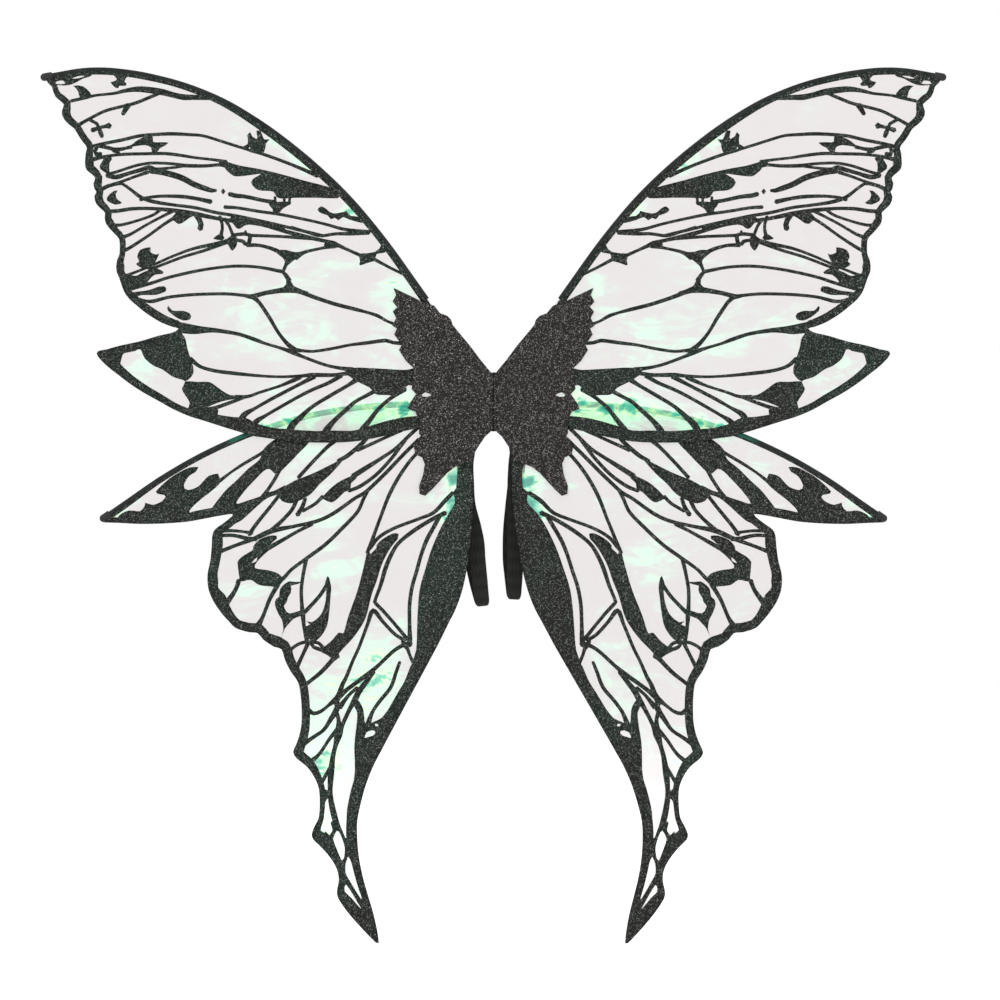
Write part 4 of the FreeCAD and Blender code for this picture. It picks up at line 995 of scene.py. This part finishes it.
def felt_material(name, dark, light):
    """Matted fibres over a broad pile."""
    material, tree, shader = new_material(name)
    fibres = noise_value(tree, 1500, 6, 0.75, distortion=1.5)
    both = calculate(tree, "MULTIPLY_ADD", noise_value(tree, 120), 0.6, fibres)
    tree.links.new(ramp(tree, both, ((0.55, dark), (1.0, light))), shader.inputs["Base Color"])
    raise_grain(tree, shader, both, 0.9, 0.0005)
    shader.inputs["Roughness"].default_value = 0.92
    shader.inputs["Sheen Weight"].default_value = 0.25
    shader.inputs["Specular IOR Level"].default_value = 0.2
    return material


def soft_piece(name, verts, faces, crease=None, weld=None):
    """A closed mesh with its faces turned outwards; edges sharper than crease stay sharp."""
    mesh = bpy.data.meshes.new(name)
    mesh.from_pydata([tuple(v) for v in verts], [], faces)
    piece = bpy.data.objects.new(name, mesh)
    bpy.context.collection.objects.link(piece)
    bpy.ops.object.select_all(action="DESELECT")
    bpy.context.view_layer.objects.active = piece
    piece.select_set(True)
    bpy.ops.object.mode_set(mode="EDIT")
    bpy.ops.mesh.select_all(action="SELECT")
    if weld:
        bpy.ops.mesh.remove_doubles(threshold=weld)
    bpy.ops.mesh.normals_make_consistent(inside=False)
    bpy.ops.object.mode_set(mode="OBJECT")
    if crease:
        bpy.ops.object.shade_smooth_by_angle(angle=math.radians(crease))
    else:
        bpy.ops.object.shade_smooth()
    bpy.ops.object.select_all(action="DESELECT")
    return piece


def slab(name, outline, place, low, high):
    """A flat slab over an outline: rings step in from a rounded rim to the middle."""
    outline = [np.array(p[:2], float) for p in outline]
    centre = sum(outline) / len(outline)
    count = len(outline)
    half, middle = (high - low) / 2, (high + low) / 2
    round_off = min(half, RIM_RADIUS)
    # the rim, from the middle of the edge round to the flat: step inwards, and depth
    rim = [(round_off * (1 - math.cos(turn)), half - round_off + round_off * math.sin(turn))
           for turn in (math.pi / 2 * k / 3 for k in range(4))]
    rim.append((round_off + RIM_FLAT, half))
    verts, faces, starts = [], [], []
    for sign in (1, -1):
        loops = []
        for inward, depth in rim:
            ring = [p + (centre - p) / np.linalg.norm(centre - p) * inward for p in outline]
            loops.append((ring, middle + sign * depth))
        for number in range(1, SLAB_RINGS):
            smaller = [p + (centre - p) * number / SLAB_RINGS for p in ring]
            loops.append((smaller, middle + sign * half))
        start = len(verts)
        starts.append(start)
        for points, depth in loops:
            verts += [place(p[0], depth, p[1]) for p in points]
        for row in range(len(loops) - 1):
            for k in range(count):
                a, b = start + row * count + k, start + row * count + (k + 1) % count
                faces.append((a, b, b + count, a + count))
        verts.append(place(centre[0], middle + sign * half, centre[1]))
        top = start + (len(loops) - 1) * count
        faces += [(top + k, top + (k + 1) % count, len(verts) - 1) for k in range(count)]
    front, back = starts
    faces += [(front + (k + 1) % count, front + k, back + k, back + (k + 1) % count) for k in range(count)]
    return soft_piece(name, verts, faces, weld=0.00001)


def square_frame(across, depth, height):
    """The place in metres of a point of the back piece."""
    return Vector((across, depth, height)) * 0.001


black_felt = felt_material("black_felt", (0.009, 0.009, 0.009), (0.032, 0.032, 0.034))
for word, side in SIDES:
    lining = slab(word + "_felt_lining", smooth(ROOT_BOARD, True, 2.5),
                  lambda across, depth, height: folded(side, across, depth, height), 7.5, 8.3)
    lining.data.materials.append(black_felt)
    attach(lining, word + "_wing")
    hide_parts(word + "_lining")

pad_outline = []
for corner, (sx, sz) in enumerate(((1, -1), (1, 1), (-1, 1), (-1, -1))):
    for step in range(7):
        angle = math.radians(-90 + 90 * corner + 15 * step)
        pad_outline.append((sx * (PAD_WIDTH / 2 - PAD_CORNER) + PAD_CORNER * math.cos(angle),
                            sz * (PAD_HEIGHT / 2 - PAD_CORNER) + PAD_CORNER * math.sin(angle)))
pad_outline = smooth(pad_outline, True, 2.5)
foam = slab("pad_foam_block", pad_outline, square_frame, -6.0, -1.25)
cover = slab("pad_felt_cover", pad_outline, square_frame, -1.2, 0.0)
foam_material = plain_material(
    "closed_cell_foam", (0.012, 0.012, 0.012), (0.04, 0.04, 0.04), 0.85, 1300, 0.0004, specular=0.2)
foam.data.materials.append(foam_material)
cover.data.materials.append(black_felt)
for piece, node, slot in ((foam, "pad_foam", "foam"), (cover, "pad_cover", "felt")):
    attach(piece, "back")
    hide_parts(node)


# --------------------------------------------------------------------------- spine tape
# Tape that closes the gap between the two patches, where the wings meet. It is faced
# with the patches' glitter, and it is creased down the middle of its face.
TAPE_HALF = [(0, -13.2), (0.35, -14.1), (0.9, -14.55), (2.3, -14.5), (2.8, -14.2), (2.8, -13),
             (2.1, -12.4), (2.1, -6.2)]
TAPE_SECTION = TAPE_HALF[::-1] + [(-x, y) for x, y in TAPE_HALF[1:]]
TAPE_BOTTOM, TAPE_TOP, TAPE_ROWS = -29.4, 26, 30
count = len(TAPE_SECTION)
verts = [square_frame(x, y + 0.12 * noise.noise(Vector((x, y, z * 0.3))), z)
         for z in np.linspace(TAPE_BOTTOM, TAPE_TOP, TAPE_ROWS) for x, y in TAPE_SECTION]
faces = [(r * count + k, (r + 1) * count + k, (r + 1) * count + (k + 1) % count, r * count + (k + 1) % count)
         for r in range(TAPE_ROWS - 1) for k in range(count)]
faces += [tuple(range(count)), tuple(range((TAPE_ROWS - 1) * count, TAPE_ROWS * count))[::-1]]
tape = soft_piece("spine_tape_cloth", verts, faces, crease=40)
tape.data.materials.append(patch_glitter)
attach(tape, "back")
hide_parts("spine_tape")


# ---------------------------------------------------------------------- elastic straps
# Two arm loops of ribbed black elastic. Each end lies flat on the pad, sewn down with
# short stitches, and the loop hangs from there, swaying a little and narrowed at its foot.
STRAP_WIDTH, STRAP_THICK, STRAP_SPACING = 15.0, 1.2, 30.0
WEBBING_STEPS = 8             # faces across the strap
WEAVE_UNIT = 10.0             # millimetres of strap to one unit of its weave map
UPPER_TAB, LOWER_TAB = (8.5, 25.7), (-27.2, -10)


def woven_material(name, dark, light, across_scale, along_scale):
    """Cloth read from the piece's own weave map: ribs along it, finer picks across it."""
    material, tree, shader = new_material(name)
    place = tree.nodes.new("ShaderNodeUVMap")
    place.uv_map = "weave"
    waves = []
    for direction, scale in (("X", across_scale), ("Y", along_scale)):
        wave = tree.nodes.new("ShaderNodeTexWave")
        wave.bands_direction = direction
        wave.inputs["Scale"].default_value = scale
        wave.inputs["Distortion"].default_value = 0.4
        tree.links.new(place.outputs["UV"], wave.inputs["Vector"])
        waves.append(wave.outputs["Fac"])
    weave = calculate(tree, "MULTIPLY_ADD", waves[1], 0.35, waves[0])
    fuzzy = calculate(tree, "MULTIPLY_ADD", noise_value(tree, 900, 4, 0.7), 0.4, weave)
    tree.links.new(ramp(tree, fuzzy, ((0.3, dark), (0.743, light))), shader.inputs["Base Color"])
    raise_grain(tree, shader, fuzzy, 0.8, 0.0005)
    shader.inputs["Roughness"].default_value = 0.85
    shader.inputs["Sheen Weight"].default_value = 0.02
    shader.inputs["Specular IOR Level"].default_value = 0.08
    return material


ribbed_elastic = woven_material("ribbed_elastic", (0.004, 0.004, 0.0035), (0.02, 0.02, 0.018), 2.4, 0.25)


def webbing(name, centres, widths):
    """A flat strap with rounded edges along a line of (place, across direction) pairs."""
    verts, faces, weave = [], [], []
    count, rows = 2 * (WEBBING_STEPS + 1), len(centres)
    length = 0.0
    for number, (point, sideways) in enumerate(centres):
        before, after = centres[max(number - 1, 0)][0], centres[min(number + 1, rows - 1)][0]
        run = (after - before).normalized()
        sideways = (sideways - run * sideways.dot(run)).normalized()
        face_way = run.cross(sideways)
        if number:
            length += (point - centres[number - 1][0]).length
        width = widths[number]
        for sign in (1, -1):
            for k in range(WEBBING_STEPS + 1):
                t = k / WEBBING_STEPS if sign == 1 else 1 - k / WEBBING_STEPS
                edge = abs(2 * t - 1)
                rounding = 1 - 0.75 * max(0.0, (edge - 0.8) / 0.2) ** 2
                bulge = STRAP_THICK * 0.001 / 2 * rounding
                verts.append(point + sideways * (width * (t - 0.5)) + face_way * (sign * bulge))
                weave.append((t * width * 1000 / WEAVE_UNIT, length * 1000 / WEAVE_UNIT))
    for row in range(rows - 1):
        for k in range(count):
            a, b = row * count + k, row * count + (k + 1) % count
            faces.append((a, b, b + count, a + count))
    faces += [tuple(range(count))[::-1], tuple(range((rows - 1) * count, rows * count))]
    piece = soft_piece(name, verts, faces, crease=50)
    layer = piece.data.uv_layers.new(name="weave")
    for loop in piece.data.loops:
        layer.data[loop.index].uv = weave[loop.vertex_index]
    piece.data.materials.append(ribbed_elastic)
    return piece


# Each strap: side, lean in degrees, its foot, and how far its front run sways at each height.
STRAPS = (
    ("left", -1, 6.0, -196.0,
     ((-27, 0), (-60, -3.2), (-98, -4.8), (-119, -1.8), (-135, -0.2), (-165, -1.3), (-196, -0.5))),
    ("right", 1, 3.0, -189.0,
     ((-27, 0), (-50, -4.6), (-74, -5.4), (-110, -3.7), (-150, -1.6), (-189, -0.8))))
stitch_thread = plain_material(
    "stitch_thread", (0.02, 0.02, 0.02), (0.07, 0.07, 0.07), 0.6, 2500, 0.0001)
for word, side, lean, bottom, drift in STRAPS:
    angle = math.radians(side * lean)
    along = Vector((math.sin(angle), 0, math.cos(angle)))
    sideways = Vector((math.cos(angle), 0, -math.sin(angle)))
    anchor = Vector((side * STRAP_SPACING, 0, 0))
    heights, shifts = [d[0] for d in drift][::-1], [d[1] for d in drift][::-1]

    def strap_point(depth, height, sway=0.0):
        """Millimetres on the strap's own leaning plane, moved sideways by its sway."""
        return (anchor + along * height + sideways * sway + Vector((0, depth, 0))) * 0.001

    def swayed(depth, height):
        """A point of the run next to the wings."""
        return depth, height, float(np.interp(height, heights, shifts))

    # Depth, height and sway: over the top, down the wearer's side, round the foot, up again.
    path = smooth(
        [(0.6, 25.9, 0), (0.7, 34, 0), (3.5, 42, 0), (12, 45.2, 0), (21, 42, -0.5), (24.0, 33, -1),
         (24.2, 0, -2), (24.0, -60, -4), (23.6, -120, -7), (23.2, -150, -6), (22.6, bottom + 22, -3.5),
         (19, bottom + 6, -1.5), (12, bottom + 0.9, -0.7), swayed(5, bottom + 6), swayed(1.6, bottom + 20)]
        + [swayed(0.7, z) for z in (-150, -135, -119, -98, -74, -50)] + [(0.6, -27.4, 0)], step=3)
    line = [(strap_point(*p), sideways) for p in path]
    # The elastic is drawn in a little near its foot, and more in the bend itself.
    widths = [0.001 * (STRAP_WIDTH - 1.6 * ease((bottom + 26 - p[1]) / 26)
                       - 4.5 * max(0.0, (bottom + 6 - p[1]) / 6) ** 2) for p in path]
    # Both ends lie within 4 mm of the pad: up to 38 mm high at the top, from -44 mm at the foot.
    upper_end = max(k for k, p in enumerate(path[:12]) if p[1] < 38 and p[0] < 4)
    lower_end = min(k for k, p in enumerate(path) if k > len(path) / 2 and p[1] > -44 and p[0] < 4)
    loop = webbing(word + "_arm_loop", line[upper_end:lower_end + 1], widths[upper_end:lower_end + 1])
    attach(loop, word + "_strap")
    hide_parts(word + "_strap_loop")
    for end, piece_line, piece_widths in (
            ("upper", line[:upper_end + 1], widths[:upper_end + 1]),
            ("lower", line[lower_end:][::-1], widths[lower_end:][::-1])):
        neck = webbing("%s_%s_strap_neck" % (word, end), piece_line, piece_widths)
        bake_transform(neck)
    for end, (low, high) in (("upper", UPPER_TAB), ("lower", LOWER_TAB)):
        tab_line = [(strap_point(0.6, low + (high - low) * k / 8), sideways) for k in range(9)]
        tab = webbing("%s_%s_strap_tab" % (word, end), tab_line, [STRAP_WIDTH * 0.001] * 9)
        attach(tab, "back")
    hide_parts(word + "_strap_tabs")
    paint(word + "_strap_thread", stitch_thread)
